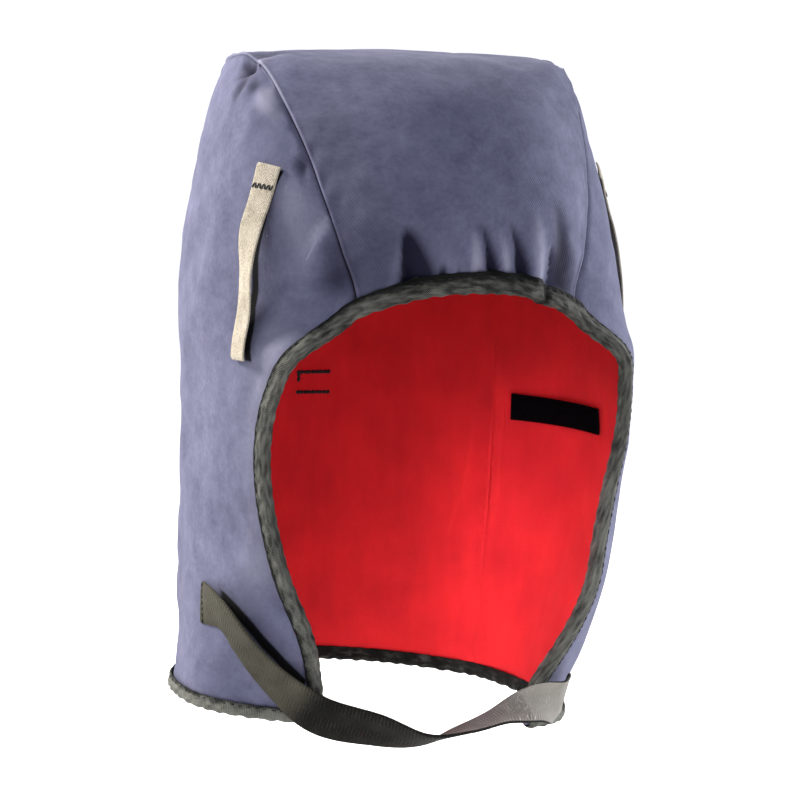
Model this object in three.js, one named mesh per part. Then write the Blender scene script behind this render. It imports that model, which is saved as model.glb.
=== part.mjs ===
// Hard hat winter liner: a twill hood with a red lining, bound edges, tape loops and a chin strap.
// Millimetres, +Z up. The face opening looks to -Y and the wearer's left side is at +X.
// The origin is the seat on the head, at the inside of the crown lining.

import * as THREE from 'three';

// Walls, from the outside in
const SHELL_WALL = 1.2;
const LINING_WALL = 1.8;
const CLEARANCE = 0.3;
const SEAM_GAP = 0.4;
const LINING_DEPTH = SHELL_WALL + CLEARANCE;
const HOOD_WALL = LINING_DEPTH + LINING_WALL;

// Half width of each side panel at its widest line, by height
const WIDEST_Y = -3;
const WIDTHS = [
  { z: -290, left: 80, right: 97 },
  { z: -258, left: 86, right: 94.5 },
  { z: -230, left: 92.5, right: 94 },
  { z: -207, left: 99, right: 93.5 },
  { z: -174, left: 103, right: 93 },
  { z: -140, left: 100, right: 94 },
  { z: -110, left: 98, right: 96 },
  { z: -84, left: 92.5, right: 94.5 },
  { z: -60, left: 87, right: 90 },
  { z: -36, left: 81, right: 86 },
  { z: -14, left: 77, right: 81 },
  { z: 1, left: 73.5, right: 73.5 },
];
const FRONT_ROUNDING = 2.5;
const BACK_ROUNDING = 2.3;

// Face edge, from the hem corner up to the brow
const FACE_EDGE = [
  { x: 49, y: -50, z: -289 },
  { x: 51.7, y: -54, z: -271 },
  { x: 57.3, y: -62, z: -257 },
  { x: 63.6, y: -67, z: -243 },
  { x: 71, y: -66.5, z: -227 },
  { x: 76.5, y: -61.5, z: -207 },
  { x: 81.3, y: -59.5, z: -185 },
  { x: 84.3, y: -63, z: -163 },
  { x: 82.5, y: -69.5, z: -140 },
  { x: 74.5, y: -78.5, z: -121 },
  { x: 51, y: -81, z: -105.5 },
];

// Crown gusset: its seam to the side panel and its centre ridge, from the brow over to the nape
const CROWN = [
  { name: 'brow', seamX: 51, seamY: -81, seamZ: -105.5, ridgeY: -97, ridgeZ: -94 },
  { name: 'forehead', seamX: 56.3, seamY: -75, seamZ: -79, ridgeY: -102, ridgeZ: -73 },
  { name: 'temple', seamX: 63.4, seamY: -59.3, seamZ: -47, ridgeY: -94, ridgeZ: -42 },
  { name: 'hairline', seamX: 68.2, seamY: -38.7, seamZ: -23, ridgeY: -74, ridgeZ: -16 },
  { name: 'crown front', seamX: 73.5, seamY: -10.5, seamZ: -1, ridgeY: -38, ridgeZ: 0.5 },
  { name: 'crown', seamX: 70, seamY: 24, seamZ: 0, ridgeY: 8, ridgeZ: HOOD_WALL },
  { name: 'crown back', seamX: 65, seamY: 56, seamZ: -9, ridgeY: 58, ridgeZ: -2 },
  { name: 'occiput', seamX: 71, seamY: 65, seamZ: -53, ridgeY: 89, ridgeZ: -49 },
  { name: 'nape', seamX: 76, seamY: 60, seamZ: -153, ridgeY: 95, ridgeZ: -153 },
  { name: 'nape hem', seamX: 70, seamY: 56, seamZ: -285, ridgeY: 91, ridgeZ: -284.5 },
];
const CORNER_ROW = 4;
const BACK_ROW = 6;
const GUSSET_FULLNESS = 2.3;

// The hem hangs lower at the wearer's left: drop for each millimetre of x, fading out above
const HEM_LEAN = 0.06;
const LEAN_TOP_Z = -190;

// Folds pressed into the hood along a line: its deep end, its shallow end, and how wide and deep it is
const FOLDS = [
  { name: 'right brow pleat', deep: [-34, -92, -87], shallow: [-36, -92, -62], width: 6, depth: 3 },
  { name: 'middle brow pleat', deep: [-2, -100, -84], shallow: [-6, -101, -58], width: 6, depth: 3 },
  { name: 'left brow pleat', deep: [12, -99, -84], shallow: [7, -101, -58], width: 6, depth: 2.5 },
  { name: 'brow notch', deep: [33, -92, -91], shallow: [30, -94, -68], width: 6, depth: 4 },
  { name: 'right temple crease', deep: [-60, -68, -65], shallow: [-68, -64, -84], width: 8, depth: 2 },
  { name: 'right loop hollow', deep: [-91, -47, -96], shallow: [-80, -44, -52], width: 22, depth: 3.5 },
  { name: 'left loop hollow', deep: [95, -26, -93], shallow: [84, -34, -58], width: 12, depth: 5 },
  { name: 'right crown pinch', deep: [-75, -6, -2], shallow: [-70, -24, -14], width: 9, depth: 3 },
  { name: 'left crown pinch', deep: [74, -6, -2], shallow: [60, -30, -10], width: 9, depth: 2.5 },
];

// Grid steps of the panels
const STEPS_BELOW_BROW = 13;
const CLOSER_AT_BROW = 1.3;
const STEPS_ABOVE_BROW = 7;
const STEPS_FRONT_TO_BACK = 8;
const STEPS_ACROSS_CROWN = 16;
const HOOD_MIDDLE_Z = -110;
const STEEPEST_MITRE = 0.6;

// Edge binding: a tape folded over the edge
const BINDING_LEG = 6.5;
const BINDING_WALL = 0.8;
const BINDING_OUTSIDE_CLEARANCE = 1.15;
const BINDING_INSIDE_CLEARANCE = 1.6;
const FACE_BINDING_START = 0.6;

// Tape loops: where each is sewn on in side view, how far it bows to the front between its ends,
// its share of the stand-off, and that stand-off along its length
const LOOPS = [
  { name: 'suspension_loop_right', side: 'right', topY: -44.5, bottomY: -46, bow: 5, slack: 1 },
  { name: 'suspension_loop_left', side: 'left', topY: -40, bottomY: -22, bow: -5, slack: 0.6 },
];
const LOOP_TOP_Z = -46;
const LOOP_BOTTOM_Z = -128;
const TAPE_WIDTH = 13;
const TAPE_WALL = 0.9;
const LOOP_SEAT = 0.3;
const LOOP_PROFILE = [
  { share: 0, lift: 0.1 },
  { share: 0.13, lift: 0.1 },
  { share: 0.2, lift: 0.7 },
  { share: 0.3, lift: 2.5 },
  { share: 0.42, lift: 3.7 },
  { share: 0.58, lift: 3.7 },
  { share: 0.72, lift: 2.3 },
  { share: 0.84, lift: 0.5 },
  { share: 0.92, lift: 0.1 },
  { share: 1, lift: 0.1 },
];
const LOOP_FLAT_SHARES = [0.42, 0.58];

// Chin strap: places on the side panels in side view with the webbing's lift off them,
// and its way under the chin with its turn in degrees away from standing on edge
const STRAP_WIDTH = 19;
const STRAP_WALL = 1.5;
const STRAP_STEPS = 44;
const STRAP_ON_RIGHT = [
  { name: 'end', y: -18.5, z: -238.2, lift: 1.3 },
  { name: 'side', y: -34, z: -239, lift: 2.8 },
  { name: 'cheek', y: -41.5, z: -243.5, lift: 3.8 },
  { name: 'above corner', y: -47, z: -253, lift: 4.4 },
  { name: 'corner', y: -49.3, z: -267.5, lift: 5 },
];
const STRAP_UNDER_CHIN = [
  { name: 'past right corner', x: -53, y: -57.5, z: -281.2, turn: 18 },
  { name: 'right of chin', x: -30, y: -66.5, z: -287, turn: 31 },
  { name: 'middle', x: -9, y: -72.5, z: -291.4, turn: 65 },
  { name: 'twist', x: 9, y: -72, z: -288, turn: 82 },
  { name: 'left of chin', x: 28, y: -67.2, z: -284, turn: 93 },
  { name: 'past left corner', x: 44, y: -64, z: -280.3, turn: 128 },
];
const STRAP_ON_LEFT = [
  { name: 'corner', y: -49.5, z: -274.5, lift: 8 },
  { name: 'end', y: -45, z: -273, lift: 4 },
];

// Patch on the lining of the wearer's left side
const PATCH = { frontY: -7.5, backY: 53.5, topZ: -155, bottomZ: -168, wall: 1, clearance: 0.9, steps: 8 };

const FINISHES = {
  twill: { color: 0x5d6180, roughness: 0.9, metalness: 0 },
  lining: { color: 0xc8222a, roughness: 0.95, metalness: 0 },
  binding: { color: 0x4c4a46, roughness: 0.85, metalness: 0 },
  tape: { color: 0xd9cfb4, roughness: 0.85, metalness: 0 },
  webbing: { color: 0x3a3833, roughness: 0.9, metalness: 0 },
  patch: { color: 0x15131a, roughness: 0.95, metalness: 0 },
};

const RIGHT = -1;
const LEFT = 1;
const SIDES = { right: RIGHT, left: LEFT };

/** List of a function's values from 0 up to and including a number of steps. */
const steps = (count, make) => Array.from({ length: count + 1 }, (_, step) => make(step));

/** Smooth lookup of a table's columns by one of them, which rises from row to row. */
function lookUp(table, by, columns) {
  const places = table.map((row) => row[by]);
  const samples = table.flatMap((row) => columns.map((column) => row[column]));
  const spline = new THREE.CubicInterpolant(places, samples, columns.length, []);
  return (at) => [...spline.evaluate(at)];
}

const widestAt = lookUp(WIDTHS, 'z', ['left', 'right']);
const seamRows = CROWN.map((row) => ({ x: row.seamX, y: row.seamY, z: row.seamZ }));
const frontAt = lookUp([...FACE_EDGE, ...seamRows.slice(1, CORNER_ROW + 1)], 'z', ['x', 'y']);
const backAt = lookUp(seamRows.slice(BACK_ROW).reverse(), 'z', ['x', 'y']);

/** Half width of the hood's body at a place in side view: rounded from the widest line to either edge. */
function bodyHalfWidth(side, y, z) {
  const [left, right] = widestAt(z);
  const widest = side === LEFT ? left : right;
  const isFront = y < WIDEST_Y;
  const [edgeX, edgeY] = (isFront ? frontAt : backAt)(z);
  const rounding = isFront ? FRONT_ROUNDING : BACK_ROUNDING;
  const reach = Math.min(1, (y - WIDEST_Y) / (edgeY - WIDEST_Y)) ** rounding;
  return (widest ** rounding * (1 - reach) + edgeX ** rounding * reach) ** (1 / rounding);
}

/** Lets a point near the hem down at the wearer's left and up at the right. */
function lean(point) {
  const depth = Math.max(0, (LEAN_TOP_Z - point.z) / (LEAN_TOP_Z - FACE_EDGE[0].z));
  point.z -= HEM_LEAN * point.x * depth * depth;
  return point;
}

const foldLines = FOLDS.map(({ deep, shallow, width, depth }) => ({
  line: new THREE.Line3(new THREE.Vector3(...deep), new THREE.Vector3(...shallow)), width, depth,
}));

/** Presses a surface point in where folds cross it. */
function press(point) {
  const inward = point.clone().setZ(Math.max(0, point.z - HOOD_MIDDLE_Z)).normalize().negate();
  const nearest = new THREE.Vector3();
  let sunk = 0;
  for (const { line, width, depth } of foldLines) {
    const along = line.closestPointToPointParameter(point, true);
    const gap = point.distanceTo(line.at(along, nearest)) / width;
    sunk += depth * (1 - along) * Math.exp(-gap * gap);
  }
  return point.addScaledVector(inward, sunk);
}

const faceCurve = new THREE.CatmullRomCurve3(FACE_EDGE.map(({ x, y, z }) => new THREE.Vector3(x, y, z)));
const seamCurve = new THREE.CatmullRomCurve3(
  CROWN.map(({ seamY, seamZ }) => new THREE.Vector3(0, seamY, seamZ)),
);
const ridgeCurve = new THREE.CatmullRomCurve3(
  CROWN.map(({ ridgeY, ridgeZ }) => new THREE.Vector3(0, ridgeY, ridgeZ)),
);
const CORNER_AT = CORNER_ROW / (CROWN.length - 1);
const BACK_AT = BACK_ROW / (CROWN.length - 1);
const SIDE_STEPS = STEPS_BELOW_BROW + STEPS_ABOVE_BROW;

/** Places along the crown seam that match the border points of a side panel, from the brow to the nape. */
function seamStations() {
  const between = (from, to, count) => steps(count, (step) => from + (to - from) * step / count);
  const front = between(0, CORNER_AT, STEPS_ABOVE_BROW);
  const top = between(CORNER_AT, BACK_AT, STEPS_FRONT_TO_BACK);
  const back = between(BACK_AT, 1, SIDE_STEPS);
  return [...front, ...top.slice(1), ...back.slice(1)];
}

/** Side panel as rows of points from the hem to the crown, each row from the front to the back. */
function sideRows(side) {
  const front = (i) => {
    const above = i - STEPS_BELOW_BROW;
    if (above > 0) return seamCurve.getPoint(CORNER_AT * above / STEPS_ABOVE_BROW);
    return faceCurve.getPointAt(1 - (-above / STEPS_BELOW_BROW) ** CLOSER_AT_BROW);
  };
  const back = (i) => seamCurve.getPoint(1 - (1 - BACK_AT) * i / SIDE_STEPS);
  const top = (j) => seamCurve.getPoint(CORNER_AT + (BACK_AT - CORNER_AT) * j / STEPS_FRONT_TO_BACK);
  const hem = (j) => front(0).lerp(back(0), j / STEPS_FRONT_TO_BACK);
  return steps(SIDE_STEPS, (i) => steps(STEPS_FRONT_TO_BACK, (j) => {
    const [up, along] = [i / SIDE_STEPS, j / STEPS_FRONT_TO_BACK];
    const corners = front(0).lerp(back(0), along).lerp(front(SIDE_STEPS).lerp(back(SIDE_STEPS), along), up);
    const point = front(i).lerp(back(i), along).add(hem(j).lerp(top(j), up)).sub(corners);
    point.x = side * bodyHalfWidth(side, point.y, point.z);
    return press(lean(point));
  }));
}

/** Crown gusset as rows of points from the brow to the nape, each row from the right seam to the left. */
function crownRows() {
  return seamStations().map((station) => {
    const seam = seamCurve.getPoint(station);
    const ridge = ridgeCurve.getPoint(station);
    return steps(STEPS_ACROSS_CROWN, (j) => {
      const across = 2 * j / STEPS_ACROSS_CROWN - 1;
      const point = ridge.clone().lerp(seam, Math.abs(across) ** GUSSET_FULLNESS);
      point.x = across * bodyHalfWidth(across < 0 ? RIGHT : LEFT, seam.y, seam.z);
      return press(lean(point));
    });
  });
}

const panelRows = { crown: crownRows(), right: sideRows(RIGHT), left: sideRows(LEFT) };

/** Key by which panels share the facing of their common seam points. */
const placeKey = (point) => point.toArray().map((value) => Math.round(value * 100)).join();

const quad = (a, b, c, d) => [[a, b, c], [a, c, d]];

/** Outward unit normal of a facet: away from the hood's axis, or from its middle near the crown. */
function facetNormal([a, b, c]) {
  const normal = b.clone().sub(a).cross(c.clone().sub(a)).normalize();
  const outward = a.clone().setZ(Math.max(0, a.z - HOOD_MIDDLE_Z));
  return normal.multiplyScalar(Math.sign(normal.dot(outward)));
}

/** Way out of the wall at each panel point, long enough to clear every facet there by one millimetre. */
function waysOutOfWall() {
  const facets = new Map();
  for (const rows of Object.values(panelRows)) {
    rows.slice(1).forEach((row, i) => row.slice(1).forEach((corner, j) => {
      for (const triangle of quad(rows[i][j], rows[i][j + 1], corner, row[j])) {
        const normal = facetNormal(triangle);
        triangle.map(placeKey).forEach((key) => facets.set(key, [...(facets.get(key) ?? []), normal]));
      }
    }));
  }
  return new Map([...facets].map(([key, facing]) => {
    const mean = facing.reduce((sum, normal) => sum.add(normal), new THREE.Vector3()).normalize();
    const steepest = Math.min(...facing.map((normal) => normal.dot(mean)));
    return [key, mean.divideScalar(Math.max(steepest, STEEPEST_MITRE))];
  }));
}

const waysOut = waysOutOfWall();
const wayOutAt = (point) => waysOut.get(placeKey(point));

/** Closed body from points and triangles, turned so that its faces look out. */
function closedBody(points, triangles) {
  const volume = triangles.reduce((sum, [a, b, c]) =>
    sum + points[a].dot(points[b].clone().cross(points[c])), 0);
  const facing = volume < 0 ? triangles.map(([a, b, c]) => [a, c, b]) : triangles;
  const geometry = new THREE.BufferGeometry().setFromPoints(points);
  geometry.setIndex(facing.flat());
  geometry.computeVertexNormals();
  return geometry;
}

/** Wall between two sheets of points that have the same rows and columns. */
function wallBetween(outer, inner) {
  const [rows, columns] = [outer.length, outer[0].length];
  const far = rows * columns;
  const at = (i, j) => i * columns + j;
  const triangles = [];
  for (let i = 0; i < rows - 1; i += 1) {
    for (let j = 0; j < columns - 1; j += 1) {
      const [a, b, c, d] = [at(i, j), at(i, j + 1), at(i + 1, j + 1), at(i + 1, j)];
      triangles.push(...quad(a, b, c, d), ...quad(a + far, d + far, c + far, b + far));
    }
  }
  const rim = (a, b) => triangles.push(...quad(b, a, a + far, b + far));
  for (let i = 0; i < rows - 1; i += 1) {
    rim(at(i + 1, 0), at(i, 0));
    rim(at(i, columns - 1), at(i + 1, columns - 1));
  }
  for (let j = 0; j < columns - 1; j += 1) {
    rim(at(0, j), at(0, j + 1));
    rim(at(rows - 1, j + 1), at(rows - 1, j));
  }
  return closedBody([...outer.flat(), ...inner.flat()], triangles);
}

/** Closed bar through rings of points, with flat ends cut to the ring's outline. */
function barThrough(rings, outline) {
  const count = outline.length;
  const last = (rings.length - 1) * count;
  const ends = THREE.ShapeUtils.triangulateShape(outline, []);
  const triangles = [...ends, ...ends.map(([a, b, c]) => [last + a, last + c, last + b])];
  for (let ring = 0; ring < rings.length - 1; ring += 1) {
    for (let k = 0; k < count; k += 1) {
      const [a, b] = [ring * count + k, ring * count + (k + 1) % count];
      triangles.push(...quad(b, a, a + count, b + count));
    }
  }
  return closedBody(rings.flat(), triangles);
}

/** Outline of a flat band, across its width and through its wall. */
function bandOutline(width, wall) {
  const [w, h] = [width / 2, wall / 2];
  return [[w, h], [-w, h], [-w, -h], [w, -h]].map(([across, through]) => new THREE.Vector2(across, through));
}

/** Ring of an outline's points in the plane of two directions. */
const ringAt = (middle, across, through, outline) => outline.map(({ x, y }) =>
  middle.clone().addScaledVector(across, x).addScaledVector(through, y));

const hood = new THREE.Group();

/** Adds one named piece to the hood. */
function addPiece(name, geometry, finish) {
  const mesh = new THREE.Mesh(geometry, new THREE.MeshStandardMaterial(finish));
  mesh.name = name;
  hood.add(mesh);
}

/** A panel's points at a depth under the outer surface, drawn back from its seams. */
function sheetAt(rows, depth, seamNeighbour) {
  return rows.map((row, i) => row.map((point, j) => {
    const placed = point.clone().addScaledVector(wayOutAt(point), -depth);
    const neighbour = seamNeighbour(rows, i, j);
    if (!neighbour) return placed;
    return placed.addScaledVector(neighbour.clone().sub(point).normalize(), SEAM_GAP / 2);
  }));
}

/** The next crown point in from a seam point, or nothing away from the seams. */
function crownSeamNeighbour(rows, i, j) {
  if (j === 0) return rows[i][1];
  return j === STEPS_ACROSS_CROWN ? rows[i][j - 1] : null;
}

/** The next side panel point in from a seam point, or nothing away from the seams. */
function sideSeamNeighbour(rows, i, j) {
  const row = rows[Math.min(i, SIDE_STEPS - 1)];
  if (j === STEPS_FRONT_TO_BACK) return row[j - 1];
  if (j === 0 && i >= STEPS_BELOW_BROW) return row[1];
  return i === SIDE_STEPS ? row[j] : null;
}

/** The shell or lining: a crown gusset and two side panels between two depths. */
function addLayer(suffix, finish, from, to) {
  const wall = (rows, neighbour) => wallBetween(sheetAt(rows, from, neighbour), sheetAt(rows, to, neighbour));
  addPiece(`crown_${suffix}`, wall(panelRows.crown, crownSeamNeighbour), finish);
  addPiece(`side_${suffix}_right`, wall(panelRows.right, sideSeamNeighbour), finish);
  addPiece(`side_${suffix}_left`, wall(panelRows.left, sideSeamNeighbour), finish);
}

/** The stations' ways in from the edge, made square to the edge. */
function squaredToEdge(stations) {
  return stations.map(({ point, wayOut, wayIn }, k) => {
    const from = stations[Math.max(k - 1, 0)].point;
    const along = stations[Math.min(k + 1, stations.length - 1)].point.clone().sub(from).normalize();
    return { point, wayOut, wayIn: wayIn.clone().addScaledVector(along, -wayIn.dot(along)).normalize() };
  });
}

/** Binding folded over an edge: its stations each hold a point, the way out of the wall and the way in. */
function addBinding(name, stations) {
  const outside = BINDING_OUTSIDE_CLEARANCE;
  const inside = -HOOD_WALL - BINDING_INSIDE_CLEARANCE;
  const fold = -BINDING_OUTSIDE_CLEARANCE;
  const outline = [
    [BINDING_LEG, outside + BINDING_WALL], [fold - BINDING_WALL, outside + BINDING_WALL],
    [fold - BINDING_WALL, inside - BINDING_WALL], [BINDING_LEG, inside - BINDING_WALL],
    [BINDING_LEG, inside], [fold, inside], [fold, outside], [BINDING_LEG, outside],
  ].map(([inward, outward]) => new THREE.Vector2(inward, outward));
  const rings = squaredToEdge(stations)
    .map(({ point, wayOut, wayIn }) => ringAt(point, wayIn, wayOut, outline));
  addPiece(name, barThrough(rings, outline), FINISHES.binding);
}

/** Binding station at an edge point with the next point in from it. */
const stationAt = (point, inner) => ({
  point, wayOut: wayOutAt(point), wayIn: inner.clone().sub(point).normalize(),
});

/** Station part of the way from one to the next. */
const stationBetween = (from, to, share) => ({
  point: from.point.clone().lerp(to.point, share),
  wayOut: from.wayOut.clone().lerp(to.wayOut, share),
  wayIn: from.wayIn.clone().lerp(to.wayIn, share).normalize(),
});

/** Stations up the right of the face opening, over the brow and down the left, clear of the hem binding. */
function faceStations() {
  const sideEdge = (rows) => {
    const edge = rows.slice(0, STEPS_BELOW_BROW).map((row) => stationAt(row[0], row[1]));
    return [stationBetween(edge[0], edge[1], FACE_BINDING_START), ...edge.slice(1)];
  };
  const brow = panelRows.crown[0].map((point, j) => stationAt(point, panelRows.crown[1][j]));
  return [...sideEdge(panelRows.right), ...brow, ...sideEdge(panelRows.left).reverse()];
}

/** Stations along the hem from the right front corner round the back to the left front corner. */
function hemStations() {
  const sideHem = (rows) => rows[0].map((point, j) => stationAt(point, rows[1][j]));
  const [above, nape] = panelRows.crown.slice(-2);
  const back = nape.map((point, j) => stationAt(point, above[j])).slice(1, -1);
  return [...sideHem(panelRows.right), ...back, ...sideHem(panelRows.left).reverse()];
}

const SLOPE_STEP = 0.5;

/** Point of a side panel's outer surface, with its normal and its level direction towards the back. */
function sideFrame(side, y, z) {
  const at = (atY, atZ) => lean(new THREE.Vector3(side * bodyHalfWidth(side, atY, atZ), atY, atZ));
  const level = at(y + SLOPE_STEP, z).sub(at(y - SLOPE_STEP, z)).normalize();
  const rise = at(y, z + SLOPE_STEP).sub(at(y, z - SLOPE_STEP)).normalize();
  const normal = level.clone().cross(rise).normalize().multiplyScalar(side);
  return { point: at(y, z), normal, level };
}

/** Tape loop sewn down at both ends, with a flat stretch where it stands off the most. */
function addLoop({ name, side, topY, bottomY, bow, slack }) {
  const { lerp } = THREE.MathUtils;
  const frameAt = (share) => {
    const y = lerp(topY, bottomY, share) - bow * 4 * share * (1 - share);
    return sideFrame(SIDES[side], y, lerp(LOOP_TOP_Z, LOOP_BOTTOM_Z, share));
  };
  const [flatStart, flatEnd] = LOOP_FLAT_SHARES.map(frameAt);
  const middle = frameAt((LOOP_FLAT_SHARES[0] + LOOP_FLAT_SHARES[1]) / 2);
  const along = flatEnd.point.clone().sub(flatStart.point);
  const outline = bandOutline(TAPE_WIDTH, TAPE_WALL);
  const rings = LOOP_PROFILE.map(({ share, lift }) => {
    const isFlat = LOOP_FLAT_SHARES.includes(share);
    const frame = isFlat ? middle : frameAt(share);
    const shift = isFlat ? Math.sign(share - 0.5) / 2 : 0;
    const centre = frame.point.clone().addScaledVector(along, shift);
    centre.addScaledVector(frame.normal, LOOP_SEAT + slack * lift + TAPE_WALL / 2);
    return ringAt(centre, frame.level, frame.normal, outline);
  });
  addPiece(name, barThrough(rings, outline), FINISHES.tape);
}

/** Strap stations on a side panel: the webbing's middle and the panel's normal there. */
const strapOnPanel = (side, rows) => rows.map(({ y, z, lift }) => {
  const { point, normal } = sideFrame(side, y, z);
  return { middle: point.addScaledVector(normal, lift), normal };
});

/** Chin strap: webbing from panel to panel, half turned under the chin. */
function addStrap() {
  const stations = [
    ...strapOnPanel(RIGHT, STRAP_ON_RIGHT),
    ...STRAP_UNDER_CHIN.map(({ x, y, z, turn }) => ({ middle: new THREE.Vector3(x, y, z), turn })),
    ...strapOnPanel(LEFT, STRAP_ON_LEFT).map(({ middle, normal }) => ({ middle, normal: normal.negate() })),
  ];
  const route = new THREE.CatmullRomCurve3(stations.map(({ middle }) => middle));
  const widths = new THREE.CatmullRomCurve3(stations.map(({ normal, turn }, row) => {
    const tangent = route.getTangent(row / (stations.length - 1));
    if (normal) return normal.clone().cross(tangent).normalize();
    const up = new THREE.Vector3(0, 0, 1);
    const upright = up.addScaledVector(tangent, -up.dot(tangent)).normalize();
    return upright.applyAxisAngle(tangent, THREE.MathUtils.degToRad(turn));
  }));
  const outline = bandOutline(STRAP_WIDTH, STRAP_WALL);
  const rings = steps(STRAP_STEPS, (step) => {
    const tangent = route.getTangent(step / STRAP_STEPS);
    const across = widths.getPoint(step / STRAP_STEPS);
    across.addScaledVector(tangent, -across.dot(tangent)).normalize();
    return ringAt(route.getPoint(step / STRAP_STEPS), across, tangent.clone().cross(across), outline);
  });
  addPiece('chin_strap', barThrough(rings, outline), FINISHES.webbing);
}

/** Patch that follows the inside of the left lining. */
function addPatch() {
  const nearDepth = HOOD_WALL + PATCH.clearance;
  const sheet = (depth) => [PATCH.bottomZ, PATCH.topZ].map((z) => steps(PATCH.steps, (step) => {
    const frame = sideFrame(LEFT, THREE.MathUtils.lerp(PATCH.frontY, PATCH.backY, step / PATCH.steps), z);
    return frame.point.addScaledVector(frame.normal, -depth);
  }));
  addPiece('lining_patch', wallBetween(sheet(nearDepth), sheet(nearDepth + PATCH.wall)), FINISHES.patch);
}

addLayer('panel', FINISHES.twill, 0, SHELL_WALL);
addLayer('lining', FINISHES.lining, LINING_DEPTH, HOOD_WALL);
addBinding('face_binding', faceStations());
addBinding('hem_binding', hemStations());
LOOPS.forEach(addLoop);
addStrap();
addPatch();

export default hood;
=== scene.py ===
"""Looks of a hard hat winter liner: a twill hood with a red lining, bound edges, loops and a chin strap.

The hood hangs as a head holds it. Lengths are millimetres in the part's own frame, with the face opening
at -Y and the wearer's left at +X, and they become metres where a mesh is made. Flat sizes are in metres.
"""

import logging
import math
from dataclasses import dataclass, field
from enum import Enum, IntEnum
from functools import partial
from typing import Callable, NamedTuple, Sequence

import bmesh
import bpy
import numpy as np
from mathutils import Matrix, Vector


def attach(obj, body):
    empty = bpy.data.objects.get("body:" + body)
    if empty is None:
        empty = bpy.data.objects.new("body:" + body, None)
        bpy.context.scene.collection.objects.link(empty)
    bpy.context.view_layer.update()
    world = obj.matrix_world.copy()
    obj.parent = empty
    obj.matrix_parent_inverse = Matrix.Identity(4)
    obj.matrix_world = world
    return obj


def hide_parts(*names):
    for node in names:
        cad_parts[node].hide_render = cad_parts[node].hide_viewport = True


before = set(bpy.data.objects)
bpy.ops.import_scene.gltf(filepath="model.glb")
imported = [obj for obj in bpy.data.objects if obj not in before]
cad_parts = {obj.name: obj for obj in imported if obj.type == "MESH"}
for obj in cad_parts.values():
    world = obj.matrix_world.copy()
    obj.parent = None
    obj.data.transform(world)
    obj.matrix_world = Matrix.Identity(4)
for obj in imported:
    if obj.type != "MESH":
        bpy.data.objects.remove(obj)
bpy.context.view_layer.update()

LOG = logging.getLogger("winter_liner")
MM = 0.001
TINY = 1e-9
CUT_LIMIT = 0.999
BODY = "root"
HOOD_MIDDLE_Z = -110.0

Array = np.ndarray
Colour = tuple[float, float, float, float]
Socket = bpy.types.NodeSocket


class Side(IntEnum):
    """Side of the wearer, with the sign of x there."""

    RIGHT = -1
    LEFT = 1


class Border(Enum):
    """Border of a grid of points: the axis that leads away from it, and if it is the last line on it."""

    FIRST_ROW = (0, False)
    LAST_ROW = (0, True)
    FIRST_COLUMN = (1, False)
    LAST_COLUMN = (1, True)


class Slot(str, Enum):
    """Material slots of the record."""

    TWILL = "twill"
    LINING = "lining"
    BINDING = "binding"
    TAPE = "tape"
    WEBBING = "webbing"
    PATCH = "patch"


class Width(NamedTuple):
    """Half widths of the hood at its widest line, at one height."""

    z: float
    left: float
    right: float


class CrownRow(NamedTuple):
    """Crown gusset at one station: its seam to the side panel and its centre ridge."""

    name: str
    seam_x: float
    seam_y: float
    seam_z: float
    ridge_y: float
    ridge_z: float


class Fold(NamedTuple):
    """Fold pressed in along a line, fading from its deep end to its shallow end. Minus depths are ridges.

    Its side towards the wearer's right is narrower, or steeper, by a share.
    """

    name: str
    deep: tuple[float, float, float]
    shallow: tuple[float, float, float]
    width: float
    depth: float
    steep: float = 1.0


def unit(vectors: Array) -> Array:
    """Vectors along the last axis, made one long."""
    return vectors / np.maximum(np.linalg.norm(vectors, axis=-1, keepdims=True), TINY)


def lengths_along(points: Array, axis: int = 0) -> Array:
    """Length run along an axis of a grid of points.

    Args:
        points: The grid.
        axis: Axis to run along.

    Returns:
        Length at each point, from nothing at the first line.
    """
    steps = np.linalg.norm(np.diff(points, axis=axis), axis=-1)
    start = np.zeros_like(np.take(steps, [0], axis=axis))
    return np.cumsum(np.concatenate([start, steps], axis=axis), axis=axis)


def away_from_inside(points: Array) -> Array:
    """Unit directions out of the hood: level below the middle of its height and radial above it."""
    away = points.copy()
    away[..., 2] = np.maximum(0, points[..., 2] - HOOD_MIDDLE_Z)
    return unit(away)


def run_coordinates(points: Array) -> Array:
    """Cloth coordinates of a grid: millimetres across from its middle column and along from its first row."""
    across = lengths_along(points, axis=1)
    middle = across[:, across.shape[1] // 2][:, None]
    return np.stack([across - middle, lengths_along(points, axis=0)], axis=-1)


def bell(distance: Array, width: Array | float) -> Array:
    """Smooth bump that is one at no distance and falls off over a width."""
    return np.exp(-((distance / width) ** 2))


def ease(values: Array, start: float, end: float) -> Array:
    """Smooth step from nothing at a start to one at an end."""
    share = np.clip((values - start) / (end - start), 0, 1)
    return share * share * (3 - 2 * share)


def smoothed(values: Array, span: int) -> Array:
    """Grid of values averaged with their neighbours.

    Args:
        values: The grid.
        span: Number of values that are averaged along each axis.

    Returns:
        The averaged grid.
    """
    share = np.full(span, 1 / span)
    for axis in (0, 1):
        values = np.apply_along_axis(
            lambda line: np.convolve(np.pad(line, span // 2, mode="edge"), share, mode="valid"), axis, values
        )
    return values


def closer_at_ends(count: int, closeness: float) -> Array:
    """Places from -1 to 1 that lie closer together towards both ends.

    Args:
        count: Number of places.
        closeness: From 0 for even places to 1 for places that crowd at the ends.

    Returns:
        The places, rising.
    """
    even = np.linspace(-1, 1, count)
    return (1 - closeness) * even + closeness * np.sin(even * math.pi / 2)


def shares(count: int, closeness: float) -> Array:
    """Shares from 0 to 1 that lie closer together towards both ends."""
    return (1 + closer_at_ends(count, closeness)) / 2


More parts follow.
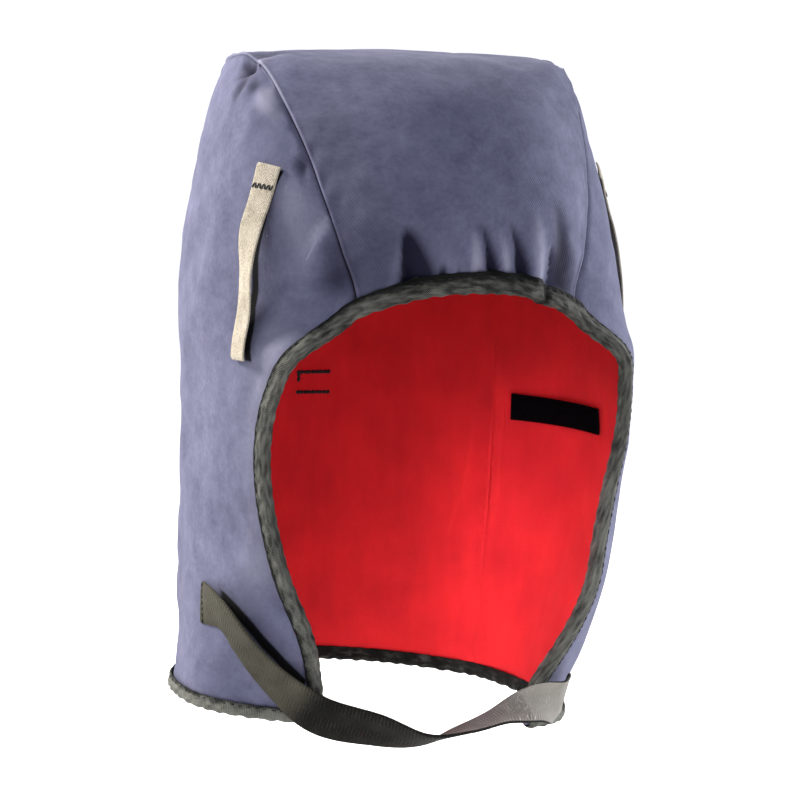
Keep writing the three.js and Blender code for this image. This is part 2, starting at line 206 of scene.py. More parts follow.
@dataclass
class Spline:
    """Smooth curve through rows of values at rising places."""

    places: Array
    values: Array
    slopes: Array = field(init=False)

    def __post_init__(self) -> None:
        """Work out the slope at each place from its two neighbours."""
        gaps = np.diff(self.places)[:, None]
        steps = np.diff(self.values, axis=0) / gaps
        inside = (steps[:-1] * gaps[1:] + steps[1:] * gaps[:-1]) / (gaps[1:] + gaps[:-1])
        self.slopes = np.vstack([steps[:1], inside, steps[-1:]])

    @classmethod
    def through(cls, points: Sequence[Sequence[float]]) -> "Spline":
        """Curve through points, with places set by the roots of their distances."""
        values = np.asarray(points, float)
        roots = np.sqrt(np.linalg.norm(np.diff(values, axis=0), axis=1))
        return cls(np.concatenate([[0.0], np.cumsum(roots)]), values)

    @classmethod
    def by(cls, rows: Sequence[Sequence[float]]) -> "Spline":
        """Lookup of a table's other columns by its first, which rises."""
        table = np.asarray(rows, float)
        return cls(table[:, 0], table[:, 1:])

    def at(self, where: Array) -> Array:
        """Values at places.

        Args:
            where: Places of any shape. Those past an end take the end's values.

        Returns:
            Values, with one more axis than the places.
        """
        where = np.clip(where, self.places[0], self.places[-1])
        row = np.clip(np.searchsorted(self.places, where, side="right") - 1, 0, len(self.places) - 2)
        gap = (self.places[row + 1] - self.places[row])[..., None]
        share = (where - self.places[row])[..., None] / gap
        rest = 1 - share
        ends = self.values[row] * (1 + 2 * share) * rest**2 + self.values[row + 1] * (1 + 2 * rest) * share**2
        return ends + gap * share * rest * (self.slopes[row] * rest - self.slopes[row + 1] * share)

    def at_row(self, row: Array) -> Array:
        """Values at row numbers, whole or between."""
        return self.at(np.interp(row, np.arange(len(self.places)), self.places))

    def at_share(self, share: Array, samples: int = 400) -> Array:
        """Values at shares of the curve's length."""
        fine = np.linspace(self.places[0], self.places[-1], samples)
        run = lengths_along(self.at(fine))
        return self.at(np.interp(np.asarray(share) * run[-1], run, fine))


@dataclass
class Undulation:
    """Seeded soft waves in space, for cloth that is nowhere quite flat."""

    seed: int
    shortest: float
    longest: float
    height: float
    waves: int = 16

    def at(self, points: Array) -> Array:
        """Height of the waves.

        Args:
            points: Places in space.

        Returns:
            Height at each of them, in millimetres.
        """
        rng = np.random.default_rng(self.seed)
        ways = unit(rng.normal(size=(self.waves, 3)))
        lengths = rng.uniform(self.shortest, self.longest, self.waves)
        phases = points @ (ways * (2 * math.pi / lengths)[:, None]).T
        waves = np.cos(phases + rng.uniform(0, 2 * math.pi, self.waves))
        return self.height * waves.sum(-1) / math.sqrt(self.waves)


@dataclass
class Sheet:
    """Grid of surface points, rows first, with cloth coordinates.

    Its centre is the line that it folds round, if it does. Its last field carries painted light and shade,
    with some real fading: from -1, darker with painted shade, to 1, lighter with painted highlight.
    """

    points: Array
    cloth: Array
    centre: Array | None = None
    wear: Array | None = None

    @property
    def outward(self) -> Array:
        """Unit normals that point out of the hood, or away from the line that the sheet folds round."""
        normals = unit(np.cross(np.gradient(self.points, axis=1), np.gradient(self.points, axis=0)))
        if self.centre is None:
            return normals * np.sign((normals * away_from_inside(self.points)).sum(-1).mean())
        return normals * np.sign((normals * (self.points - self.centre)).sum(-1, keepdims=True))

    @property
    def area(self) -> float:
        """Area in square metres."""
        down = np.diff(self.points, axis=0)[:, :-1]
        along = np.diff(self.points, axis=1)[:-1]
        return float(np.linalg.norm(np.cross(down, along), axis=-1).sum()) * MM * MM

    def distance_from(self, border: Border) -> Array:
        """Distance of each point from a border, along the grid."""
        axis, is_last = border.value
        run = lengths_along(self.points, axis=axis)
        return np.take(run, [-1], axis=axis) - run if is_last else run

    def raised(self, height: Array | float, seam: Array, blend: float = 4.0) -> "Sheet":
        """Sheet moved outward, in a direction that panels share along their seam.

        Args:
            height: Distance to move at each point.
            seam: Distance of each point from the seam.
            blend: Distance over which the shared direction gives way to the sheet's own.

        Returns:
            The moved sheet.
        """
        share = bell(seam, blend)[..., None]
        way = unit(self.outward * (1 - share) + away_from_inside(self.points) * share)
        return Sheet(self.points + way * np.asarray(height)[..., None], self.cloth, wear=self.wear)

    def lipped(self, borders: Sequence[Border], depth: float) -> "Sheet":
        """Sheet with a lip turned in at some borders.

        Args:
            borders: Borders that get a lip.
            depth: How far the lip goes in.

        Returns:
            The sheet, one line larger at each of the borders.
        """
        points, cloth = self.points, self.cloth
        wear = np.zeros(points.shape[:2]) if self.wear is None else self.wear
        for border in borders:
            axis, is_last = border.value
            line = np.take(points, [-1 if is_last else 0], axis=axis)
            turned = line - away_from_inside(line) * depth
            points = np.concatenate([points, turned] if is_last else [turned, points], axis=axis)
            more = [(0, 0), (0, 0), (0, 0)]
            more[axis] = (0, 1) if is_last else (1, 0)
            cloth = np.pad(cloth, more, mode="edge")
            wear = np.pad(wear, more[:2], mode="edge")
        return Sheet(points, cloth, wear=wear)


@dataclass
class HoodForm:
    """Outer surface of the hood: a crown gusset from brow to nape between two side panels."""

    widths: tuple[Width, ...] = (
        Width(-290, 80, 97), Width(-258, 86, 94.5), Width(-230, 92.5, 94), Width(-207, 99, 93.5),
        Width(-174, 103, 93), Width(-140, 100, 94), Width(-110, 98, 96), Width(-84, 92.5, 94.5),
        Width(-60, 87, 90), Width(-36, 81, 86), Width(-14, 77, 81), Width(1, 73.5, 73.5),
    )
    face_edge: tuple[tuple[float, float, float], ...] = (
        (49, -50, -289), (51.7, -54, -271), (57.3, -62, -257), (63.6, -67, -243), (71, -66.5, -227),
        (76.5, -61.5, -207), (81.3, -59.5, -185), (84.3, -63, -163), (82.5, -69.5, -140), (74.5, -78.5, -121),
        (51, -81, -105.5),
    )
    crown: tuple[CrownRow, ...] = (
        CrownRow("brow", 51, -81, -105.5, -97, -94),
        CrownRow("forehead", 56.3, -75, -79, -102, -73),
        CrownRow("temple", 63.4, -59.3, -47, -94, -42),
        CrownRow("hairline", 68.2, -38.7, -23, -74, -16),
        CrownRow("crown front", 73.5, -10.5, -1, -38, 0.5),
        CrownRow("crown", 70, 24, 0, 8, 3.3),
        CrownRow("crown back", 65, 56, -9, 58, -2),
        CrownRow("occiput", 71, 65, -53, 89, -49),
        CrownRow("nape", 76, 60, -153, 95, -153),
        CrownRow("nape hem", 70, 56, -285, 91, -284.5),
    )
    folds: tuple[Fold, ...] = (
        Fold("right brow pleat", (-34, -92, -87), (-36, -92, -62), 6, 3),
        Fold("middle brow pleat", (-2, -100, -84), (-6, -101, -58), 6, 3),
        Fold("left brow pleat", (12, -99, -84), (7, -101, -58), 6, 2.5),
        Fold("brow notch", (33, -92, -91), (30, -94, -68), 6, 4),
        Fold("right temple crease", (-60, -68, -65), (-68, -64, -84), 8, 2),
        Fold("right loop hollow", (-91, -47, -96), (-80, -44, -52), 22, 3.5),
        Fold("left loop hollow", (95, -26, -93), (84, -34, -58), 12, 5),
        Fold("right crown pinch", (-75, -6, -2), (-70, -24, -14), 9, 3),
        Fold("left crown pinch", (74, -6, -2), (60, -30, -10), 9, 2.5),
    )
    wrinkles: tuple[Fold, ...] = (
        Fold("right brow pleat core", (-33, -92, -93), (-34, -92, -66), 11, 5, 0.25),
        Fold("puff right of it", (-37, -90, -93), (-36.5, -91, -72), 3, -1.5),
        Fold("small right pleat", (-18, -97, -91), (-20, -98, -79), 2.4, 2.2, 0.5),
        Fold("smaller right pleat", (-12, -98, -90), (-13, -99, -82), 1.8, 1.4, 0.5),
        Fold("puff right of the middle", (-3, -98, -88), (-8, -101, -66), 3.4, -1.9),
        Fold("middle brow pleat core", (4.5, -98, -89), (-4, -101, -64), 4, 4.6, 0.4),
        Fold("puff left of the middle", (10.5, -98, -88), (4, -101, -66), 2.8, -1.8),
        Fold("left brow pleat core", (18.5, -97, -88), (9.5, -101, -64), 4.6, 4.4, 0.4),
        Fold("puff right of the notch", (26, -94, -90), (22, -98, -60), 6, -1.8),
        Fold("brow notch core", (34, -90, -97), (32, -94, -74), 2.8, 4.8, 0.4),
        Fold("hollow left of the notch", (42, -87, -92), (36, -93, -52), 7, 2.2),
        Fold("crown pinch core", (-76, 0, -3), (-72, -13, -8), 2.6, 3.4),
        Fold("crown pinch wing", (-74, -6, -5), (-79, 2, -12), 2.4, 2),
        Fold("right crown crease", (-71, -10, -2), (-38, -19, 2), 1.8, -1.3),
        Fold("hollow behind right crease", (-66, -2, 0), (-44, -10, 3), 5, 1.2),
        Fold("left crown crease", (71, -11, -2), (38, -27, 1), 2, -1.3),
        Fold("hollow under right corner", (-79, -8, -10), (-81, -11, -30), 3.6, 1.8),
        Fold("second hollow under it", (-76, -17, -13), (-78, -22, -32), 3, 1.5),
        Fold("right corner puff", (-74, -28, -18), (-71, -38, -28), 5, -1.6),
        Fold("crease beside right seam", (-67, -54, -44), (-66, -58, -56), 2.6, 2),
        Fold("right temple ridge", (-60, -69, -66), (-70, -64, -88), 2.2, -1.5),
        Fold("right temple facet", (-58, -74, -90), (-60, -69, -70), 7, 2.2),
    )
    drapes: tuple[Fold, ...] = (
        Fold("right cheek fold", (-92, -34, -165), (-90, -40, -120), 12, 1.2),
        Fold("right jaw fold", (-93, -14, -272), (-94, -12, -205), 13, -1.2),
        Fold("right back fold", (-91, 20, -270), (-93, 14, -190), 15, 1.2),
        Fold("left jaw fold", (84, 0, -270), (95, -6, -200), 14, 1.2),
        Fold("left back fold", (80, 30, -262), (92, 24, -180), 13, -1.2),
        Fold("nape fold", (-22, 91, -276), (-18, 95, -190), 14, 1.2),
        Fold("other nape fold", (30, 89, -274), (24, 94, -210), 12, 1.2),
    )
    calm: tuple[Fold, ...] = (
        Fold("under the right loop", (-78, -42, -44), (-92, -42, -130), 13, 1),
        Fold("under the left loop", (82, -38, -44), (98, -22, -130), 13, 1),
        Fold("under the strap's end", (-93, -10, -236), (-88, -44, -252), 13, 1),
    )
    # Broad painted shade on the crown's front, and broad painted light on the right side panel, standing in
    # for how the light falls.
    crown_painted_shade: tuple[Fold, ...] = (
        Fold("beside the right seam", (-44, -84, -88), (-62, -55, -38), 24, 0.45),
        Fold("over the brow", (-40, -91, -84), (36, -91, -84), 13, 0.15),
    )
    side_painted_light: tuple[Fold, ...] = (
        Fold("beside the right seam", (-73, -56, -60), (-64, -70, -84), 10, -0.2),
        Fold("along the right face edge", (-80, -66, -125), (-84, -60, -215), 12, -0.28),
    )
    narrowing: float = 0.6
    late_fade: int = 2
    bound_width: float = 4.0
    # Wrinkle depth at which the painted shade is full, and the share of it that ridges get as painted
    # highlight.
    painted_shade_depth: float = 1.7
    ridge_wear_and_highlight: float = 0.6
    widest_y: float = -3.0
    front_rounding: float = 2.5
    back_rounding: float = 2.3
    gusset_fullness: float = 2.3
    corner_row: int = 4
    back_row: int = 6
    brow_share: float = 0.65
    closer_at_brow: float = 1.3
    rows_at_brow: float = 1.6
    below_brow: float = 1000.0
    hem_lean: float = 0.06
    lean_top_z: float = -190.0
    wrap_radius: float = 92.0
    crown_spread: float = 1.06

    def __post_init__(self) -> None:
        """Make the curves and lookups that the tables describe."""
        seams = [(row.seam_z, row.seam_x, row.seam_y) for row in self.crown]
        edge = [(z, x, y) for x, y, z in self.face_edge]
        self.hem_z = self.face_edge[0][2]
        self.last_row = len(self.crown) - 1
        self.width_by_height = Spline.by(self.widths)
        self.front_by_height = Spline.by([*edge, *seams[1 : self.corner_row + 1]])
        self.back_by_height = Spline.by(seams[: self.back_row - 1 : -1])
        self.face_curve = Spline.through(self.face_edge)
        self.seam_curve = Spline.through([(0, row.seam_y, row.seam_z) for row in self.crown])
        self.ridge_curve = Spline.through([(0, row.ridge_y, row.ridge_z) for row in self.crown])

    def half_width(self, side: Side, y: Array, z: Array) -> Array:
        """Half width of the hood in side view, rounded from the widest line to either edge.

        Args:
            side: Side of the wearer.
            y: Places front to back.
            z: Heights, of the same shape.

        Returns:
            Half widths in millimetres.
        """
        widest = self.width_by_height.at(z)[..., 0 if side is Side.LEFT else 1]
        is_front = y < self.widest_y
        edge = np.where(is_front[..., None], self.front_by_height.at(z), self.back_by_height.at(z))
        power = np.where(is_front, self.front_rounding, self.back_rounding)
        reach = np.clip((y - self.widest_y) / (edge[..., 1] - self.widest_y), 0, 1) ** power
        return (widest**power * (1 - reach) + edge[..., 0] ** power * reach) ** (1 / power)

    def lean(self, points: Array) -> Array:
        """Let the hem down at the wearer's left and up at the right.

        Args:
            points: Surface points.

        Returns:
            The leaned points.
        """
        depth = np.maximum(0, (self.lean_top_z - points[..., 2]) / (self.lean_top_z - self.hem_z))
        leaned = points.copy()
        leaned[..., 2] -= self.hem_lean * points[..., 0] * depth**2
        return leaned

    @staticmethod
    def sunk(points: Array, folds: Sequence[Fold], narrowing: float = 0.0, fade: float | None = 1.0) -> Array:
        """Depth that folds press points in by.

        Args:
            points: Surface points.
            folds: The folds.
            narrowing: Share of its width that a fold loses towards its shallow end.
            fade: Power of the way along at which a fold fades, higher for one that fades late, or none.

        Returns:
            Depth at each point.
        """
        depth = np.zeros(points.shape[:-1])
        for fold in folds:
            start = np.array(fold.deep, float)
            run = np.array(fold.shallow, float) - start
            along = np.clip((points - start) @ run / (run @ run), 0, 1)
            off = points - start - along[..., None] * run
            width = fold.width * (1 - narrowing * along) * np.where(off[..., 0] < 0, fold.steep, 1)
            left = 1 if fade is None else 1 - along**fade
            depth += fold.depth * left * bell(np.linalg.norm(off, axis=-1), width)
        return depth

    def wrinkle(self, points: Array) -> Array:
        """Depth of the fine wrinkles at points."""
        return self.sunk(points, self.wrinkles, self.narrowing, self.late_fade)

    def liveliness(self, points: Array) -> Array:
        """Share of the cloth's own waves that is left beside the sewn-on pieces."""
        return 1 - np.clip(self.sunk(points, self.calm, 0, None), 0, 1)

    def press(self, points: Array) -> Array:
        """Points with the hem's lean and the large folds."""
        leaned = self.lean(points)
        return leaned - away_from_inside(leaned) * self.sunk(leaned, self.folds)[..., None]

    def wrinkled(self, sheet: Sheet, from_edge: Array, painted_shades: Sequence[Fold] = ()) -> Sheet:
        """Sheet with its fine wrinkles, which leave its bound edges as they are, with painted shade in their
        hollows and painted highlight, partly real fading, on their ridges.

        Args:
            sheet: Base surface.
            from_edge: Distance of each point from the bound edges.
            painted_shades: Broad stretches of painted shade, and of painted light where their depth is minus.

        Returns:
            The wrinkled sheet.
        """
        free = np.clip((from_edge - self.bound_width) / self.bound_width, 0, 1)
        depth = self.wrinkle(sheet.points) * free
        drape = self.sunk(sheet.points, self.drapes, self.narrowing, self.late_fade) * free
        points = sheet.points - away_from_inside(sheet.points) * (depth + drape)[..., None]
        # Painted shade in the wrinkles' hollows and painted highlight, partly real fading, on their ridges,
        # plus the broad painted stretches.
        wear = -np.tanh(depth / self.painted_shade_depth)
        wear = np.where(depth < 0, self.ridge_wear_and_highlight * wear, wear) - self.sunk(points, painted_shades, 0, None)
        return Sheet(points, sheet.cloth, wear=wear)

    def side_from_edge(self, sheet: Sheet, up: Array) -> Array:
        """Distance of a side panel's points from its bound face edge and hem.

        Args:
            sheet: The panel.
            up: Rows, from 0 at the hem to 1 at the crown.

        Returns:
            Distance at each point.
        """
        run = lengths_along(sheet.points[:, 0])
        above = np.maximum(0, run - np.interp(self.brow_share, up, run))[:, None]
        face = np.hypot(sheet.distance_from(Border.FIRST_COLUMN), above)
        return np.minimum(face, sheet.distance_from(Border.FIRST_ROW))

    def side_from_seam(self, sheet: Sheet, up: Array) -> Array:
        """Distance of a side panel's points from its seam to the crown, which starts at the brow.

        Args:
            sheet: The panel.
            up: Rows, from 0 at the hem to 1 at the crown.

        Returns:
            Distance at each point.
        """
        below = np.maximum(0, self.brow_share - up)[:, None] * self.below_brow
        front = sheet.distance_from(Border.FIRST_COLUMN) + below
        back = sheet.distance_from(Border.LAST_COLUMN)
        return np.minimum(np.minimum(front, back), sheet.distance_from(Border.LAST_ROW))

    @staticmethod
    def crown_from_edge(sheet: Sheet) -> Array:
        """Distance of the crown's points from its bound brow and nape."""
        return np.minimum(sheet.distance_from(Border.FIRST_ROW), sheet.distance_from(Border.LAST_ROW))

    @staticmethod
    def crown_from_seam(sheet: Sheet) -> Array:
        """Distance of the crown's points from its two seams."""
        return np.minimum(sheet.distance_from(Border.FIRST_COLUMN), sheet.distance_from(Border.LAST_COLUMN))

    def front_border(self, up: Array) -> Array:
        """Front border of a side panel in side view: the face edge, then the crown seam.

        Args:
            up: Rows, from 0 at the hem to 1 at the crown.

        Returns:
            Points of the border.
        """
        below = np.clip(1 - up / self.brow_share, 0, 1)
        above = np.clip((up - self.brow_share) / (1 - self.brow_share), 0, 1)
        face = self.face_curve.at_share(1 - below**self.closer_at_brow)
        return np.where((above > 0)[..., None], self.seam_curve.at_row(self.corner_row * above), face)

    def side_sheet(self, side: Side, up: Array, along: Array) -> Sheet:
        """Side panel over a grid.

        Args:
            side: Side of the wearer.
            up: Rows, from 0 at the hem to 1 at the crown.
            along: Columns, from 0 at the front to 1 at the back.

        Returns:
            The panel's outer surface.
        """
        nape, back = self.last_row, self.back_row
        front = self.front_border(up)[:, None]
        rear = self.seam_curve.at_row(nape - (nape - back) * up)[:, None]
        top = self.seam_curve.at_row(self.corner_row + (back - self.corner_row) * along)[None]
        rise, reach = up[:, None, None], along[None, :, None]
        points = front * (1 - reach) + rear * reach
        points = points + (top - points[-1:]) * rise
        width = self.half_width(side, points[..., 1], points[..., 2])
        points[..., 0] = side * width
        wrap = self.wrap_radius * np.arctan2(points[..., 1] - self.widest_y, width)
        return Sheet(self.press(points), np.stack([wrap, points[..., 2]], axis=-1))

    def crown_places(self, count: int, even: float) -> Array:
        """Row numbers of the crown that lie closer together towards the brow.

        Args:
            count: Number of rows.
            even: Share of their spacing that is even.

        Returns:
            The row numbers, rising.
        """
        share = np.linspace(0, 1, count)
        return self.last_row * (even * share + (1 - even) * share**self.rows_at_brow)

    def crown_sheet(self, rows: Array, across: Array) -> Sheet:
        """Crown gusset over a grid.

        Args:
            rows: Row numbers in the crown table, whole or between.
            across: Columns, from -1 at the right seam to 1 at the left.

        Returns:
            The gusset's outer surface.
        """
        seam, ridge = self.seam_curve.at_row(rows), self.ridge_curve.at_row(rows)
        share = np.abs(across)[None, :, None] ** self.gusset_fullness
        points = ridge[:, None] * (1 - share) + seam[:, None] * share
        right = self.half_width(Side.RIGHT, seam[:, 1], seam[:, 2])[:, None]
        left = self.half_width(Side.LEFT, seam[:, 1], seam[:, 2])[:, None]
        points[..., 0] = across * np.where(across < 0, right, left)
        along = np.broadcast_to(lengths_along(ridge)[:, None], points.shape[:2])
        return Sheet(self.press(points), np.stack([points[..., 0] * self.crown_spread, along], axis=-1))

    def spot(self, side: Side, y: Array, z: Array) -> tuple[Array, Array, Array]:
        """Places on a side panel, smooth of folds.

        Args:
            side: Side of the wearer.
            y: Places front to back.
            z: Heights, of the same shape.

        Returns:
            Points, outward normals and level directions towards the back.
        """
        def on_panel(at_y: Array, at_z: Array) -> Array:
            """Points on the panel."""
            return self.lean(np.stack([side * self.half_width(side, at_y, at_z), at_y, at_z], axis=-1))

        step = 0.5
        level = unit(on_panel(y + step, z) - on_panel(y - step, z))
        rise = unit(on_panel(y, z + step) - on_panel(y, z - step))
        return on_panel(y, z), side * unit(np.cross(level, rise)), level


class Grain(NamedTuple):
    """Noise of a finish: size of its patches, detail, weight in the tone and stretch along the cloth."""

    size_mm: float
    detail: float
    tone: float = 0.0
    stretch: float = 1.0


class StripRow(NamedTuple):
    """Place of a strip on its two axes, and half its width there."""

    along: float
    across: float
    half: float


class Strip(NamedTuple):
    """Painted strip on the right front, for painted shadow and painted highlight: the axes along and across
    it, and its rows.
    """

    name: str
    along: str
    across: str
    rows: tuple[StripRow, ...]


class Nodes:
    """Nodes of one material, around a principled shader."""

    def __init__(self, name: str) -> None:
        """Start a material with its shader joined to its output.

        Args:
            name: Name of the material.
        """
        self.material = bpy.data.materials.new(name)
        self.material.use_nodes = True
        self.tree = self.material.node_tree
        self.tree.nodes.clear()
        self.shader = self.add("ShaderNodeBsdfPrincipled")
        self.add("ShaderNodeOutputMaterial", {"Surface": self.shader.outputs[0]})

    def add(self, kind: str, inputs: dict | None = None, **settings: object) -> bpy.types.Node:
        """Add a node.

        Args:
            kind: Blender's name of the node.
            inputs: Values or sockets by input name or number.
            settings: Values of the node's own properties.

        Returns:
            The node.
        """
        node = self.tree.nodes.new(kind)
        for name, value in settings.items():
            setattr(node, name, value)
        self.feed(node, inputs or {})
        return node

    def feed(self, node: bpy.types.Node, inputs: dict) -> None:
        """Link sockets to a node's inputs, or set their values.

        Args:
            node: The node.
            inputs: Values or sockets by input name or number.
        """
        for name, value in inputs.items():
            if isinstance(value, Socket):
                self.tree.links.new(value, node.inputs[name])
            else:
                node.inputs[name].default_value = value

    def cloth(self) -> Socket:
        """Cloth coordinates, in metres across and along."""
        return self.add("ShaderNodeTexCoord").outputs["UV"]

    def place(self) -> Socket:
        """Place on the object, in metres."""
        return self.add("ShaderNodeTexCoord").outputs["Object"]

    def wear(self) -> Socket:
        """Painted light and shade of the cloth, with some real fading: from -1 for painted shade to 1 for
        painted highlight.
        """
        return self.add("ShaderNodeAttribute", attribute_name="wear").outputs["Fac"]

    def noise(self, where: Socket, grain: Grain) -> Socket:
        """Noise with a grain's patches.

        Args:
            where: Coordinates.
            grain: The patches.

        Returns:
            From 0 to 1.
        """
        if grain.stretch != 1:
            scale = (1, 1 / grain.stretch, 1)
            where = self.add("ShaderNodeMapping", {"Vector": where, "Scale": scale}).outputs[0]
        inputs = {"Vector": where, "Scale": 1 / (grain.size_mm * MM), "Detail": grain.detail}
        return self.add("ShaderNodeTexNoise", inputs).outputs[0]

    def sum(self, kind: str, first: Socket | float, second: Socket | float = 0.0) -> Socket:
        """Result of a sum on two numbers, such as ADD or MULTIPLY."""
        return self.add("ShaderNodeMath", {0: first, 1: second}, operation=kind).outputs[0]

    def weighed(self, *parts: tuple[Socket, float]) -> Socket:
        """Sum of parts, each times its weight.

        Args:
            parts: Sockets and weights.

        Returns:
            The sum.
        """
        total, *rest = [self.sum("MULTIPLY", part, weight) for part, weight in parts]
        for part in rest:
            total = self.sum("ADD", total, part)
        return total

    def ribs(self, where: Socket, spacing_mm: float, angle_deg: float) -> Socket:
        """Ribs across the cloth, turned by an angle.

        Args:
            where: Coordinates.
            spacing_mm: Distance from rib to rib.
            angle_deg: Turn of the ribs.

        Returns:
            From -1 to 1.
        """
        turn = math.radians(angle_deg)
        rate = 2 * math.pi / (spacing_mm * MM)
        way = (math.cos(turn) * rate, math.sin(turn) * rate, 0)
        phase = self.add("ShaderNodeVectorMath", {0: where, 1: way}, operation="DOT_PRODUCT").outputs["Value"]
        return self.sum("SINE", phase)

    def between(
        self, value: Socket, low: float, high: float, start: float = 0.0, end: float = 1.0
    ) -> Socket:
        """Value stretched from one range to another and held there."""
        inputs = {0: value, 1: low, 2: high, 3: start, 4: end}
        return self.add("ShaderNodeMapRange", inputs).outputs[0]

    def stepped(self, value: Socket, rows: Sequence[tuple[float, float]]) -> Socket:
        """Value led along straight lines from place to place, and held beyond them.

        Args:
            value: Place, in metres.
            rows: Places and results, in millimetres.

        Returns:
            The result, in metres.
        """
        total: Socket | float = rows[0][1] * MM
        for (start, low), (end, high) in zip(rows, rows[1:]):
            rise = self.between(value, start * MM, end * MM, 0, (high - low) * MM)
            total = self.sum("ADD", rise, total)
        return total

    def strip(self, strip: Strip, edge: tuple[float, float]) -> Socket:
        """Share of a painted strip at each place.

        Args:
            strip: The strip.
            edge: Shares of its half width at which it starts and is full.

        Returns:
            From 0 off the strip to 1 on it.
        """
        axes = self.add("ShaderNodeSeparateXYZ", {0: self.place()}).outputs
        along, across = axes[strip.along], axes[strip.across]
        middle = self.stepped(along, [(row.along, row.across) for row in strip.rows])
        half = self.stepped(along, [(row.along, row.half) for row in strip.rows])
        off = self.sum("ABSOLUTE", self.sum("SUBTRACT", across, middle))
        share = self.between(self.sum("DIVIDE", off, half), *edge)
        first, last = strip.rows[0].along * MM, strip.rows[-1].along * MM
        limits = (
            (along, first, first + MM),
            (along, last, last - MM),
            (axes["X"], 0, -MM),
            (axes["Y"], 0, -MM),
        )
        for value, outside, inside in limits:
            share = self.sum("MULTIPLY", share, self.between(value, outside, inside))
        return share

    def mixed(self, share: Socket | float, first: Socket | Colour, second: Socket | Colour) -> Socket:
        """Colour between two."""
        return self.add("ShaderNodeMix", {0: share, 6: first, 7: second}, data_type="RGBA").outputs[2]

    def finish(self, colour: Socket, height: Socket, depth_mm: float, **values: float) -> bpy.types.Material:
        """Join a colour and a relief to the shader.

        Args:
            colour: Base colour.
            height: Relief from 0 to 1.
            depth_mm: Depth of the relief.
            values: Numbers for the shader's other sockets, with _ for a space in their names.

        Returns:
            The material.
        """
        bump = self.add("ShaderNodeBump", {"Strength": 1.0, "Distance": depth_mm * MM, "Height": height})
        self.feed(self.shader, {"Base Color": colour, "Normal": bump.outputs[0]})
        self.feed(self.shader, {name.replace("_", " "): value for name, value in values.items()})
        return self.material


